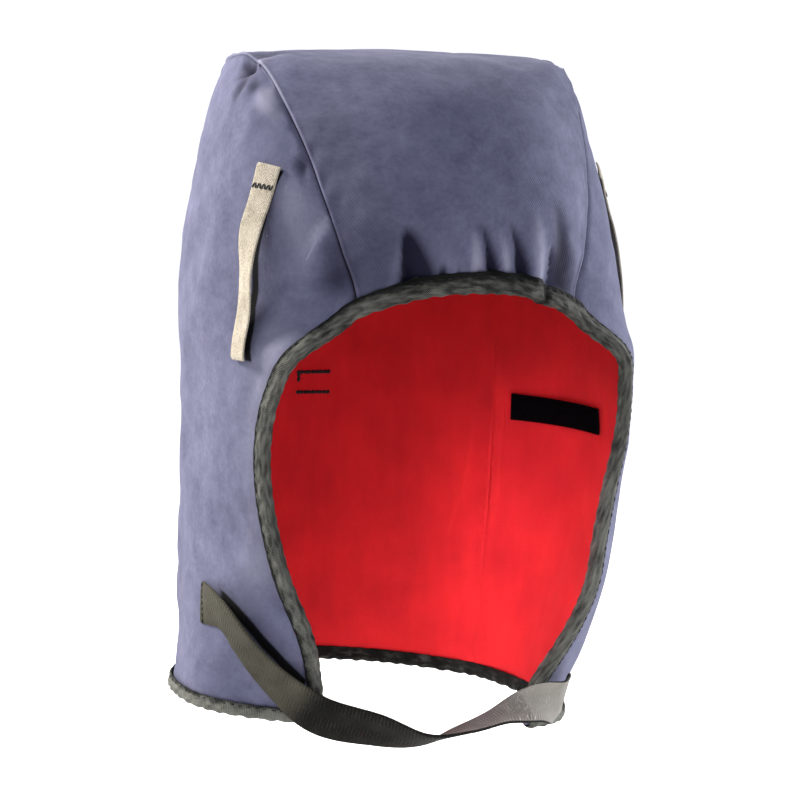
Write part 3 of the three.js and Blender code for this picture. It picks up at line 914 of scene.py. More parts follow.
@dataclass(frozen=True)
class TwillFinish:
    """Washed cotton twill with a faint diagonal and a little lint. It also takes painted shade, painted
    highlight and painted shadow.
    """

    name: str = "slate_twill"
    dark: Colour = (0.050, 0.052, 0.090, 1)
    light: Colour = (0.098, 0.101, 0.158, 1)
    lint: Colour = (0.30, 0.30, 0.33, 1)
    # Colours of painted highlight with some real fading, of painted shade, and of painted shadow.
    worn_and_painted_light: Colour = (0.27, 0.27, 0.34, 1)
    painted_shade: Colour = (0.005, 0.005, 0.014, 1)
    shade: Colour = (0.0008, 0.0008, 0.0016, 1)
    # Colour of the painted crease highlight.
    crease_highlight: Colour = (0.155, 0.158, 0.225, 1)
    # Painted shadow under the raised edges of the right loop and of the strap.
    painted_shadow_strips: tuple[Strip, ...] = (
        Strip("under the right loop's edge", "Z", "Y", (
            StripRow(-128.2, -54.2, 2.5),
            StripRow(-105.6, -47.1, 2.1),
            StripRow(-84.7, -46.1, 1.6),
            StripRow(-67.1, -47.6, 1.0),
            StripRow(-46.6, -49.4, 1.0),
        )),
        Strip("under the strap's upper edge", "X", "Z", (
            StripRow(-91.6, -230.5, 2.6),
            StripRow(-85.3, -239.2, 3.0),
            StripRow(-77.5, -249.2, 3.0),
            StripRow(-67.9, -259.3, 2.7),
            StripRow(-57, -268.8, 2.2),
        )),
    )
    # Painted highlight along the crease ridge that runs down from the right seam.
    painted_crease_highlights: tuple[Strip, ...] = (
        Strip("from the right seam", "Z", "X", (
            StripRow(-84, -69, 0.3),
            StripRow(-71.4, -62.9, 0.7),
            StripRow(-64.6, -59.6, 0.9),
        )),
    )
    strip_edge: tuple[float, float] = (1.1, 0.7)
    fade: Grain = Grain(26, 4, tone=0.9)
    mottle: Grain = Grain(2.2, 3, tone=0.55)
    blotch: Grain = Grain(8, 3, tone=0.7)
    slub: Grain = Grain(1.3, 3, stretch=6)
    tones: tuple[float, float] = (0.72, 1.42)
    wale_mm: float = 1.05
    wale_angle: float = 33
    wale_height: float = 0.4
    thread_mm: float = 0.5
    thread_angle: float = -57
    thread_height: float = 0.25
    weave_reach: float = 0.85
    weave_tone: float = 0.04
    slub_height: float = 0.9
    speck_rate: float = 95.0
    speck_rarity: tuple[float, float] = (0.72, 0.8)
    speck_size: tuple[float, float] = (0.035, 0.02)
    relief_mm: float = 0.10

    def make(self) -> bpy.types.Material:
        """Make the material.

        Returns:
            The finished material.
        """
        nodes = Nodes(self.name)
        cloth = nodes.cloth()
        wale = nodes.ribs(cloth, self.wale_mm, self.wale_angle)
        thread = nodes.ribs(cloth, self.thread_mm, self.thread_angle)
        weave = nodes.weighed((wale, self.wale_height), (thread, self.thread_height))
        slub = nodes.noise(cloth, self.slub)
        woven = nodes.between(weave, -self.weave_reach, self.weave_reach)
        height = nodes.weighed((woven, 1.0), (slub, self.slub_height))
        mottles = [(nodes.noise(cloth, grain), grain.tone) for grain in (self.fade, self.mottle, self.blotch)]
        tone = nodes.weighed(*mottles, (weave, self.weave_tone))
        colour = nodes.mixed(nodes.between(tone, *self.tones), self.dark, self.light)
        # Painted highlight, partly real fading, where the mesh's value is above nothing, and painted shade
        # where it is below.
        wear = nodes.wear()
        colour = nodes.mixed(nodes.between(wear, 0, 1), colour, self.worn_and_painted_light)
        colour = nodes.mixed(nodes.between(wear, 0, -1), colour, self.painted_shade)
        speck = nodes.add("ShaderNodeTexVoronoi", {"Vector": cloth, "Scale": self.speck_rate})
        rare = nodes.between(speck.outputs["Color"], *self.speck_rarity)
        near = nodes.between(speck.outputs["Distance"], *self.speck_size)
        colour = nodes.mixed(nodes.sum("MULTIPLY", rare, near), colour, self.lint)
        # Painted shadow strips, near black.
        for strip in self.painted_shadow_strips:
            colour = nodes.mixed(nodes.strip(strip, self.strip_edge), colour, self.shade)
        # Painted highlight along the crease ridge.
        for crease in self.painted_crease_highlights:
            colour = nodes.mixed(nodes.strip(crease, self.strip_edge), colour, self.crease_highlight)
        return nodes.finish(
            colour, height, self.relief_mm, Roughness=0.95, Specular_IOR_Level=0.08, Sheen_Weight=0.03,
            Sheen_Roughness=0.5,
        )


@dataclass(frozen=True)
class LiningFinish:
    """Brushed red lining with a soft nap."""

    name: str = "red_lining"
    dark: Colour = (0.33, 0.0085, 0.012, 1)
    light: Colour = (0.49, 0.0125, 0.016, 1)
    brushed: Grain = Grain(5, 3, tone=0.25, stretch=5)
    cloud: Grain = Grain(30, 3, tone=0.75)
    nap: Grain = Grain(0.7, 3, tone=0.25)
    tones: tuple[float, float] = (0.4, 0.85)
    brushed_height: float = 0.6
    relief_mm: float = 0.2

    def make(self) -> bpy.types.Material:
        """Make the material.

        Returns:
            The finished material.
        """
        nodes = Nodes(self.name)
        cloth = nodes.cloth()
        grains = (self.brushed, self.cloud, self.nap)
        brushed, cloud, nap = (nodes.noise(cloth, grain) for grain in grains)
        tone = nodes.weighed((brushed, self.brushed.tone), (cloud, self.cloud.tone), (nap, self.nap.tone))
        colour = nodes.mixed(nodes.between(tone, *self.tones), self.dark, self.light)
        height = nodes.weighed((nap, 1.0), (brushed, self.brushed_height))
        return nodes.finish(colour, height, self.relief_mm, Roughness=0.95, Specular_IOR_Level=0.1)


@dataclass(frozen=True)
class BandFinish:
    """Woven narrow band: ribs across it, ribs along it and a worn, fuzzy face."""

    name: str
    dark: Colour
    light: Colour
    rib_mm: float
    rib_angle: float
    chevron_mm: float
    fuzz: Grain
    relief_mm: float
    weave_tone: float
    sheen: float = 0.0
    tones: tuple[float, float] = (0.5, 1.25)
    worn_and_painted_light: Grain = Grain(9, 3, tone=0.5)
    # Weight of the mesh's painted light and shade in the tone.
    painted_light_tone: float = 0.3
    fuzz_height: float = 0.8

    def make(self) -> bpy.types.Material:
        """Make the material.

        Returns:
            The finished material.
        """
        nodes = Nodes(self.name)
        cloth = nodes.cloth()
        split = nodes.add("ShaderNodeSeparateXYZ", {0: cloth})
        folded = nodes.sum("PINGPONG", split.outputs[0], self.chevron_mm * MM)
        turned = nodes.add("ShaderNodeCombineXYZ", {0: folded, 1: split.outputs[1]}).outputs[0]
        ribs = nodes.ribs(turned, self.rib_mm, self.rib_angle)
        is_streaked = self.fuzz.stretch != 1
        fuzz = nodes.noise(cloth if is_streaked else nodes.place(), self.fuzz)
        worn_and_painted_light = nodes.noise(nodes.place(), self.worn_and_painted_light)
        weave = nodes.between(ribs, -1, 1)
        # Painted light and shade from the mesh, on the binding and the strap.
        wear = nodes.wear()
        grains = ((fuzz, self.fuzz.tone), (worn_and_painted_light, self.worn_and_painted_light.tone))
        tone = nodes.weighed((weave, self.weave_tone), *grains, (wear, self.painted_light_tone))
        colour = nodes.mixed(nodes.between(tone, *self.tones), self.dark, self.light)
        height = nodes.weighed((weave, 1.0), (fuzz, self.fuzz_height))
        return nodes.finish(
            colour, height, self.relief_mm, Roughness=0.88, Specular_IOR_Level=0.15, Sheen_Weight=self.sheen,
            Sheen_Roughness=0.45,
        )


@dataclass(frozen=True)
class PlainFinish:
    """Plain finish with a fine grain, for threads, the patch's pile and the floor."""

    name: str
    dark: Colour
    light: Colour
    grain: Grain
    relief_mm: float
    roughness: float = 0.9
    gloss: float = 0.1
    tones: tuple[float, float] = (0.3, 0.7)

    def make(self) -> bpy.types.Material:
        """Make the material.

        Returns:
            The finished material.
        """
        nodes = Nodes(self.name)
        grain = nodes.noise(nodes.place(), self.grain)
        colour = nodes.mixed(nodes.between(grain, *self.tones), self.dark, self.light)
        return nodes.finish(
            colour, grain, self.relief_mm, Roughness=self.roughness, Specular_IOR_Level=self.gloss
        )


BINDING_FINISH = BandFinish(
    "grey_binding", dark=(0.0015, 0.002, 0.0015, 1), light=(0.125, 0.127, 0.113, 1),
    rib_mm=0.75, rib_angle=90, chevron_mm=40, fuzz=Grain(1.8, 4, tone=0.8, stretch=3.5), relief_mm=0.3,
    weave_tone=0.2, tones=(0.58, 1.04),
)
WEBBING_FINISH = BandFinish(
    "dark_webbing", dark=(0.0008, 0.0008, 0.0007, 1), light=(0.046, 0.043, 0.031, 1),
    rib_mm=1.3, rib_angle=55, chevron_mm=4.75, fuzz=Grain(0.6, 4, tone=0.8), relief_mm=0.16, weave_tone=0.2,
)
WEBBING_BACK_FINISH = BandFinish(
    "pale_webbing_back", dark=(0.13, 0.122, 0.11, 1), light=(0.42, 0.395, 0.355, 1),
    rib_mm=1.3, rib_angle=55, chevron_mm=4.75, fuzz=Grain(0.7, 4, tone=0.8), relief_mm=0.2, weave_tone=0.15,
    sheen=0.05,
)
TAPE_FINISH = BandFinish(
    "cream_tape", dark=(0.15, 0.128, 0.095, 1), light=(0.52, 0.48, 0.40, 1),
    rib_mm=0.9, rib_angle=45, chevron_mm=3.25, fuzz=Grain(0.7, 4, tone=0.8), relief_mm=0.12, weave_tone=0.15,
)
PATCH_FINISH = PlainFinish(
    "black_pile", dark=(0.0006, 0.0005, 0.0007, 1), light=(0.003, 0.0025, 0.0035, 1),
    grain=Grain(0.8, 3), relief_mm=0.6, gloss=0.0,
)
THREAD_FINISH = PlainFinish(
    "black_thread", dark=(0.004, 0.004, 0.005, 1), light=(0.02, 0.02, 0.022, 1),
    grain=Grain(0.5, 3), relief_mm=0.1, roughness=0.7,
)
FLOOR_FINISH = PlainFinish(
    "pale_floor", dark=(0.95, 0.95, 0.95, 1), light=(0.97, 0.97, 0.97, 1), grain=Grain(400, 3), relief_mm=0.0
)


def sheet_object(name: str, sheet: Sheet, material: bpy.types.Material) -> bpy.types.Object:
    """Make a cloth grid over a sheet's points.

    Args:
        name: Name of the piece.
        sheet: Points, and the cloth coordinates that become its UV map.
        material: Finish.

    Returns:
        The piece, facing outward, at the origin.
    """
    rows, columns = sheet.points.shape[:2]
    grid = bmesh.new()
    bmesh.ops.create_grid(grid, x_segments=columns - 1, y_segments=rows - 1, size=1.0)
    cloth = sheet.cloth.reshape(-1, 2) * MM
    outward = sheet.outward.reshape(-1, 3)
    # Painted light and shade, with some real fading, go to the mesh as a point attribute.
    wear = np.zeros(rows * columns) if sheet.wear is None else sheet.wear.ravel()
    worn_and_painted_light = grid.verts.layers.float.new("wear")
    grid.verts.ensure_lookup_table()
    for vert, place, share in zip(grid.verts, sheet.points.reshape(-1, 3) * MM, wear):
        vert.co = place
        vert[worn_and_painted_light] = share
    grid.verts.index_update()
    grid.normal_update()
    facing = sum(vert.normal.dot(Vector(way)) for vert, way in zip(grid.verts, outward))
    if facing < 0:
        bmesh.ops.reverse_faces(grid, faces=grid.faces)
    uv = grid.loops.layers.uv.new("cloth")
    for face in grid.faces:
        face.smooth = True
        for loop in face.loops:
            loop[uv].uv = cloth[loop.vert.index]
    return mesh_object(name, grid, material)


def mesh_object(name: str, shape: bmesh.types.BMesh, material: bpy.types.Material) -> bpy.types.Object:
    """Turn a finished bmesh into an object of the scene.

    Args:
        name: Name of the object and of its mesh.
        shape: The bmesh, which is freed.
        material: Finish.

    Returns:
        The object.
    """
    mesh = bpy.data.meshes.new(name)
    shape.to_mesh(mesh)
    shape.free()
    mesh.materials.append(material)
    piece = bpy.data.objects.new(name, mesh)
    bpy.context.scene.collection.objects.link(piece)
    return piece


def thicken(piece: bpy.types.Object, wall_mm: float, back: bpy.types.Material | None = None) -> None:
    """Give a sheet its wall and smooth it once.

    Args:
        piece: The sheet, which gets modifiers.
        wall_mm: Thickness, inward from the sheet's face.
        back: Finish of the inner face, if it has its own.
    """
    wall = piece.modifiers.new("wall", "SOLIDIFY")
    wall.thickness = wall_mm * MM
    wall.offset = -1.0
    if back:
        piece.data.materials.append(back)
        wall.material_offset = 1
    smooth = piece.modifiers.new("smooth", "SUBSURF")
    smooth.levels = 1
    smooth.render_levels = 1


def cut_area(sheet: Sheet, flat: tuple[float, float]) -> float:
    """Area of a panel after cutting, in square metres, which stays under that of its flat piece."""
    return min(sheet.area, CUT_LIMIT * flat[0] * flat[1])


def seat(piece: bpy.types.Object, slot: Slot, node: str | None = None) -> bpy.types.Object:
    """Ride a piece on the hood's body, in the place of its node, and log its slot.

    Args:
        piece: The finished piece.
        slot: Material slot of the record.
        node: Node that the piece stands for, if any.

    Returns:
        The piece.
    """
    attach(piece, BODY)
    if node:
        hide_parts(node)
    LOG.info("%s: %d faces, slot %s", piece.name, len(piece.data.polygons), slot.value)
    return piece


@dataclass
class Settling:
    """Cloth simulation of an even copy of a panel, held at its borders, that settles into soft wrinkles."""

    frames: int = 20
    rows: int = 70
    columns: int = 40
    spare: float = 0.010
    firmness: float = 0.10
    reach: float = 12.0
    span: int = 13
    outward: float = 0.9
    inward: float = 0.35

    def height(self, surface: Callable[[Array, Array], Sheet], rows: Array, columns: Array) -> Array:
        """Height that a panel settles to over its surface.

        Args:
            surface: Makes the panel's sheet from rows and columns.
            rows: Rows of the grid that the height is wanted on.
            columns: Its columns.
        """
        even_rows = np.linspace(rows[0], rows[-1], self.rows)
        even_columns = np.linspace(columns[0], columns[-1], self.columns)
        sheet = surface(even_rows, even_columns)
        rise = (self.simulate(sheet) * sheet.outward).sum(-1)
        rise -= smoothed(rise, self.span)
        limit = np.where(rise > 0, self.outward, self.inward)
        rise = limit * np.tanh(rise / limit)
        down = np.array([np.interp(rows, even_rows, column) for column in rise.T]).T
        return np.array([np.interp(columns, even_columns, row) for row in down])

    def simulate(self, sheet: Sheet) -> Array:
        """Run the simulation on a sheet.

        Args:
            sheet: The even copy.

        Returns:
            Move of each point, in millimetres.
        """
        piece = sheet_object("settling", sheet, MATERIALS["twill"])
        border = np.min([sheet.distance_from(side) for side in Border], axis=0).ravel()
        held = piece.vertex_groups.new(name="held")
        for index, weight in enumerate(np.maximum(self.firmness, 1 - border / self.reach)):
            held.add([index], float(weight), "REPLACE")
        cloth = piece.modifiers.new("settling", "CLOTH")
        cloth.settings.vertex_group_mass = held.name
        cloth.settings.quality = 8
        cloth.settings.mass = 0.2
        cloth.settings.tension_stiffness = 20
        cloth.settings.compression_stiffness = 20
        cloth.settings.shear_stiffness = 6
        cloth.settings.bending_stiffness = 0.5
        cloth.settings.shrink_min = -self.spare
        cloth.settings.effector_weights.gravity = 0
        cloth.collision_settings.use_collision = False
        cloth.point_cache.frame_end = self.frames
        scene = bpy.context.scene
        for step in range(1, self.frames + 1):
            scene.frame_set(step)
        settled = piece.evaluated_get(bpy.context.evaluated_depsgraph_get()).data
        after = np.empty(len(settled.vertices) * 3)
        settled.vertices.foreach_get("co", after)
        mesh = piece.data
        bpy.data.objects.remove(piece)
        bpy.data.meshes.remove(mesh)
        scene.frame_set(1)
        move = after.reshape(sheet.points.shape) / MM - sheet.points
        LOG.info("a panel settled by up to %.1f mm", np.linalg.norm(move, axis=-1).max())
        return move


@dataclass
class Stitch:
    """One kind of stitch: a short rounded run of thread."""

    length: float = 2.4
    width: float = 0.55
    height: float = 0.5

    def sew(self, name: str, places: Array, along: Array, outward: Array) -> bpy.types.Object:
        """Sew stitches at places.

        Args:
            name: Name of the piece.
            places: Middle of each stitch.
            along: Direction of each stitch.
            outward: Direction out of the cloth at each stitch.

        Returns:
            All the stitches, as one piece.
        """
        thread = bmesh.new()
        for place, way, out in zip(places, unit(along), outward):
            out = unit(out - way * (out @ way))
            turn = Matrix(np.column_stack([way, np.cross(out, way), out])).to_4x4()
            size = Matrix.Diagonal((self.length / 2, self.width / 2, self.height / 2, 1))
            spot = Matrix.Translation(Vector(place) * MM) @ turn @ Matrix.Scale(MM, 4) @ size
            bmesh.ops.create_uvsphere(thread, u_segments=6, v_segments=5, radius=1.0, matrix=spot)
        for face in thread.faces:
            face.smooth = True
        return mesh_object(name, thread, MATERIALS["thread"])


MATERIALS: dict[str, bpy.types.Material] = {}


def make_materials() -> None:
    """Make every finish once."""
    MATERIALS.update(
        twill=TwillFinish().make(), lining=LiningFinish().make(), binding=BINDING_FINISH.make(),
        webbing=WEBBING_FINISH.make(), webbing_back=WEBBING_BACK_FINISH.make(), tape=TAPE_FINISH.make(),
        patch=PATCH_FINISH.make(), thread=THREAD_FINISH.make(), floor=FLOOR_FINISH.make(),
    )


@dataclass
class Shell:
    """Twill shell: a crown gusset and two side panels, sewn edge to edge."""

    form: HoodForm
    wall: float = 1.2
    crown_rows: int = 122
    crown_columns: int = 91
    side_rows: int = 124
    side_columns: int = 64
    crown_even: float = 0.4
    across_closeness: float = 0.6
    up_closeness: float = 0.5
    along_closeness: float = 0.7
    crown_flat: tuple[float, float] = (0.205, 0.56)
    side_flat: tuple[float, float] = (0.185, 0.30)
    seam_ridge: float = 0.75
    seam_width: float = 1.05
    ridge_share: float = 0.7
    # Share of the seam's width that takes the light line beside it.
    seam_highlight_share: float = 0.5
    seam_cut: float = 0.8
    seam_depth: float = 1.2
    seam_valley: float = 2.4
    lip: float = 2.0
    # Strength of the light line on the crown beside the seam, painted highlight with some real fading, and of
    # the painted shade along it on the side panels.
    seam_wear_and_painted_light: float = 0.4
    under_binding: float = 0.4
    bound_from: float = 9.0
    bound_blend: float = 4.0
    free_from: float = 7.0
    free_blend: float = 6.0
    wave: float = 0.3
    wave_lengths: tuple[float, float] = (26, 75)
    wave_calm: float = 6.0
    pucker: float = 0.45
    pucker_lengths: tuple[float, float] = (7, 13)
    pucker_calm: float = 1.5
    pucker_reach: float = 7.0
    crown_seed: int = 11
    side_seed: int = 23
    pucker_seed: int = 40
    settling: Settling = field(default_factory=Settling)

    def build(self) -> dict[str, Sheet]:
        """Build and dress the panels.

        Returns:
            Base surface of each panel, by the part of its name that tells it.
        """
        bases = {"crown": self.build_crown()}
        up = shares(self.side_rows, self.up_closeness)
        along = shares(self.side_columns, self.along_closeness)
        for side in Side:
            bases[side.name.lower()] = self.build_side(side, up, along)
        return bases

    def build_crown(self) -> Sheet:
        """Build the crown gusset, which rises in a ridge beside its seams.

        Returns:
            Its base surface.
        """
        form = self.form
        rows = form.crown_places(self.crown_rows, self.crown_even)
        across = closer_at_ends(self.crown_columns, self.across_closeness)
        base = form.crown_sheet(rows, across)
        seam, edge = form.crown_from_seam(base), form.crown_from_edge(base)
        settled = self.settling.height(form.crown_sheet, rows, across)
        ridge_width = self.seam_width * self.ridge_share
        ridge = self.seam_ridge * bell(seam - self.seam_width, ridge_width)
        depth = self.seam_depth + self.seam_ridge * bell(self.seam_width, ridge_width)
        lift = ridge - depth * bell(seam, self.seam_cut)
        lift = lift + self.cloth_life(base, settled, seam, edge, self.crown_seed)
        sheet = form.wrinkled(base, edge, form.crown_painted_shade).raised(lift, seam)
        # Painted highlight, with some real fading, on the crown's ridge beside each seam.
        seam_highlight_width = self.seam_width * self.seam_highlight_share
        sheet.wear = sheet.wear + self.seam_wear_and_painted_light * bell(seam - self.seam_width, seam_highlight_width)
        self.panel("crown_panel", sheet, (Border.FIRST_COLUMN, Border.LAST_COLUMN), self.crown_flat)
        return base

    def build_side(self, side: Side, up: Array, along: Array) -> Sheet:
        """Build a side panel.

        Args:
            side: Side of the wearer.
            up: Rows of its grid, from 0 at the hem to 1 at the crown.
            along: Columns of its grid, from 0 at the front to 1 at the back.

        Returns:
            Its base surface.
        """
        form = self.form
        base = form.side_sheet(side, up, along)
        seam, edge = form.side_from_seam(base, up), form.side_from_edge(base, up)
        settled = self.settling.height(partial(form.side_sheet, side), up, along)
        lift = self.cloth_life(base, settled, seam, edge, self.side_seed + side)
        lift -= self.seam_depth * bell(seam, self.seam_valley)
        sheet = form.wrinkled(base, edge, form.side_painted_light).raised(lift, seam)
        # Painted shade along the seam on the side panel.
        sheet.wear = sheet.wear - self.seam_wear_and_painted_light * bell(seam, self.seam_width)
        borders = (Border.FIRST_COLUMN, Border.LAST_COLUMN, Border.LAST_ROW)
        self.panel(f"side_panel_{side.name.lower()}", sheet, borders, self.side_flat)
        return base

    def cloth_life(self, sheet: Sheet, settled: Array, seam: Array, edge: Array, seed: int) -> Array:
        """Height of a panel's own life over its base.

        Args:
            sheet: Base surface.
            settled: Height that the cloth settles to.
            seam: Distance from the seams, which gather into puckers.
            edge: Distance from the bound edges, under which the cloth steps down.
            seed: Seed of the soft waves.

        Returns:
            Height at each point.
        """
        points = sheet.points
        waves = settled + Undulation(seed, *self.wave_lengths, self.wave).at(points)
        waves = waves * self.form.liveliness(points) * (1 - bell(seam, self.wave_calm))
        puckers = Undulation(seed + self.pucker_seed, *self.pucker_lengths, self.pucker).at(points)
        puckers = puckers * np.exp(-seam / self.pucker_reach) * (1 - bell(seam, self.pucker_calm))
        free = np.clip((edge - self.free_from) / self.free_blend, 0, 1)
        bound = np.clip((self.bound_from - edge) / self.bound_blend, 0, 1)
        return (waves + puckers) * free - self.under_binding * bound

    def panel(self, name: str, sheet: Sheet, seams: Sequence[Border], flat: tuple[float, float]) -> None:
        """Make one panel.

        Args:
            name: Name of its node, which the piece takes with _twill added.
            sheet: Its outer surface.
            seams: Borders that are turned in to a seam.
            flat: Width and length that it is cut from, in metres.
        """
        piece = sheet_object(f"{name}_twill", sheet.lipped(seams, self.lip), MATERIALS["twill"])
        thicken(piece, self.wall)
        seat(piece, Slot.TWILL, name)
        area = cut_area(sheet, flat)


@dataclass
class Lining:
    """Red lining, cut as the shell is and lying inside it."""

    form: HoodForm
    depth: float = 2.0
    wall: float = 1.2
    crown_rows: int = 104
    crown_columns: int = 49
    side_rows: int = 80
    side_columns: int = 40
    crown_even: float = 0.6
    across_closeness: float = 0.6
    up_closeness: float = 0.4
    along_closeness: float = 0.6
    crown_flat: tuple[float, float] = (0.20, 0.55)
    side_flat: tuple[float, float] = (0.18, 0.295)
    wave: float = 0.5
    wave_lengths: tuple[float, float] = (24, 70)
    wave_calm: float = 5.0
    wave_seed: int = 61
    seam_dip: float = 1.0
    seam_width: float = 2.5
    lip: float = -1.0

    def build(self) -> None:
        """Build and dress the lining's panels."""
        form = self.form
        rows = form.crown_places(self.crown_rows, self.crown_even)
        crown = form.crown_sheet(rows, closer_at_ends(self.crown_columns, self.across_closeness))
        base = form.wrinkled(crown, form.crown_from_edge(crown))
        borders = (Border.FIRST_COLUMN, Border.LAST_COLUMN)
        self.panel("crown_lining", base, form.crown_from_seam(crown), borders, self.crown_flat)
        up = shares(self.side_rows, self.up_closeness)
        along = shares(self.side_columns, self.along_closeness)
        borders = (Border.FIRST_COLUMN, Border.LAST_COLUMN, Border.LAST_ROW)
        for side in Side:
            sheet = form.side_sheet(side, up, along)
            base = form.wrinkled(sheet, form.side_from_edge(sheet, up))
            seam = form.side_from_seam(sheet, up)
            self.panel(f"side_lining_{side.name.lower()}", base, seam, borders, self.side_flat)

    def panel(
        self, name: str, base: Sheet, seam: Array, borders: Sequence[Border], flat: tuple[float, float]
    ) -> None:
        """Make one panel of the lining.

        Args:
            name: Name of its node, which the piece takes with _cloth added.
            base: Outer surface of the hood over it.
            seam: Distance of its points from the lining's seams.
            borders: Borders that are turned out behind a seam.
            flat: Width and length that it is cut from, in metres.
        """
        waves = np.maximum(0, Undulation(self.wave_seed, *self.wave_lengths, self.wave).at(base.points))
        waves = waves * (1 - bell(seam, self.wave_calm))
        sheet = base.raised(-self.depth - waves - self.seam_dip * bell(seam, self.seam_width), seam)
        piece = sheet_object(f"{name}_cloth", sheet.lipped(borders, self.lip), MATERIALS["lining"])
        thicken(piece, self.wall)
        seat(piece, Slot.LINING, name)
        area = cut_area(sheet, flat)


@dataclass
class EdgePath:
    """Edge of the hood that a binding folds over: points, ways out of the cloth and ways in from the edge."""

    points: Array
    outward: Array
    inward: Array

    @classmethod
    def joined(cls, parts: Sequence[tuple[Array, Array, Array]], spacing: float) -> "EdgePath":
        """Join stretches of edge and space their points evenly.

        Args:
            parts: Points, outward normals and next points in, for each stretch in turn.
            spacing: Distance between the new points.

        Returns:
            The whole path, with directions square to it.
        """
        points, outward, inner = (np.concatenate(rows) for rows in zip(*parts))
        inward = unit(inner - points)
        run = lengths_along(points)
        fine = np.linspace(0, run[-1], int(run[-1] / spacing))
        reach = 2
        span = 2 * reach + 1

        def even(rows: Array) -> Array:
            """Rows at even spacing, averaged over their neighbours within a reach."""
            spaced = np.column_stack([np.interp(fine, run, column) for column in rows.T])
            padded = np.pad(spaced, ((reach, reach), (0, 0)), mode="edge")
            return sum(padded[first : first + len(spaced)] for first in range(span)) / span

        points, outward, inward = even(points), unit(even(outward)), unit(even(inward))
        along = unit(np.gradient(points, axis=0))
        inward = unit(inward - along * (inward * along).sum(-1, keepdims=True))
        facing = np.cross(along, inward)
        outward = facing * np.sign((facing * outward).sum(-1, keepdims=True))
        return cls(points, outward, inward)

    def at(self, inward: Array, outward: Array) -> Array:
        """Points off the edge by distances inward and outward."""
        return self.points + self.inward * inward[..., None] + self.outward * outward[..., None]


class LegRow(NamedTuple):
    """Point of a binding's leg: its share of the leg's length, its depth, and its painted light and shade on
    either edge, with painted shadow at the leg's end.
    """

    share: float
    groove: float
    face_painted_light: float
    hem_painted_light: float


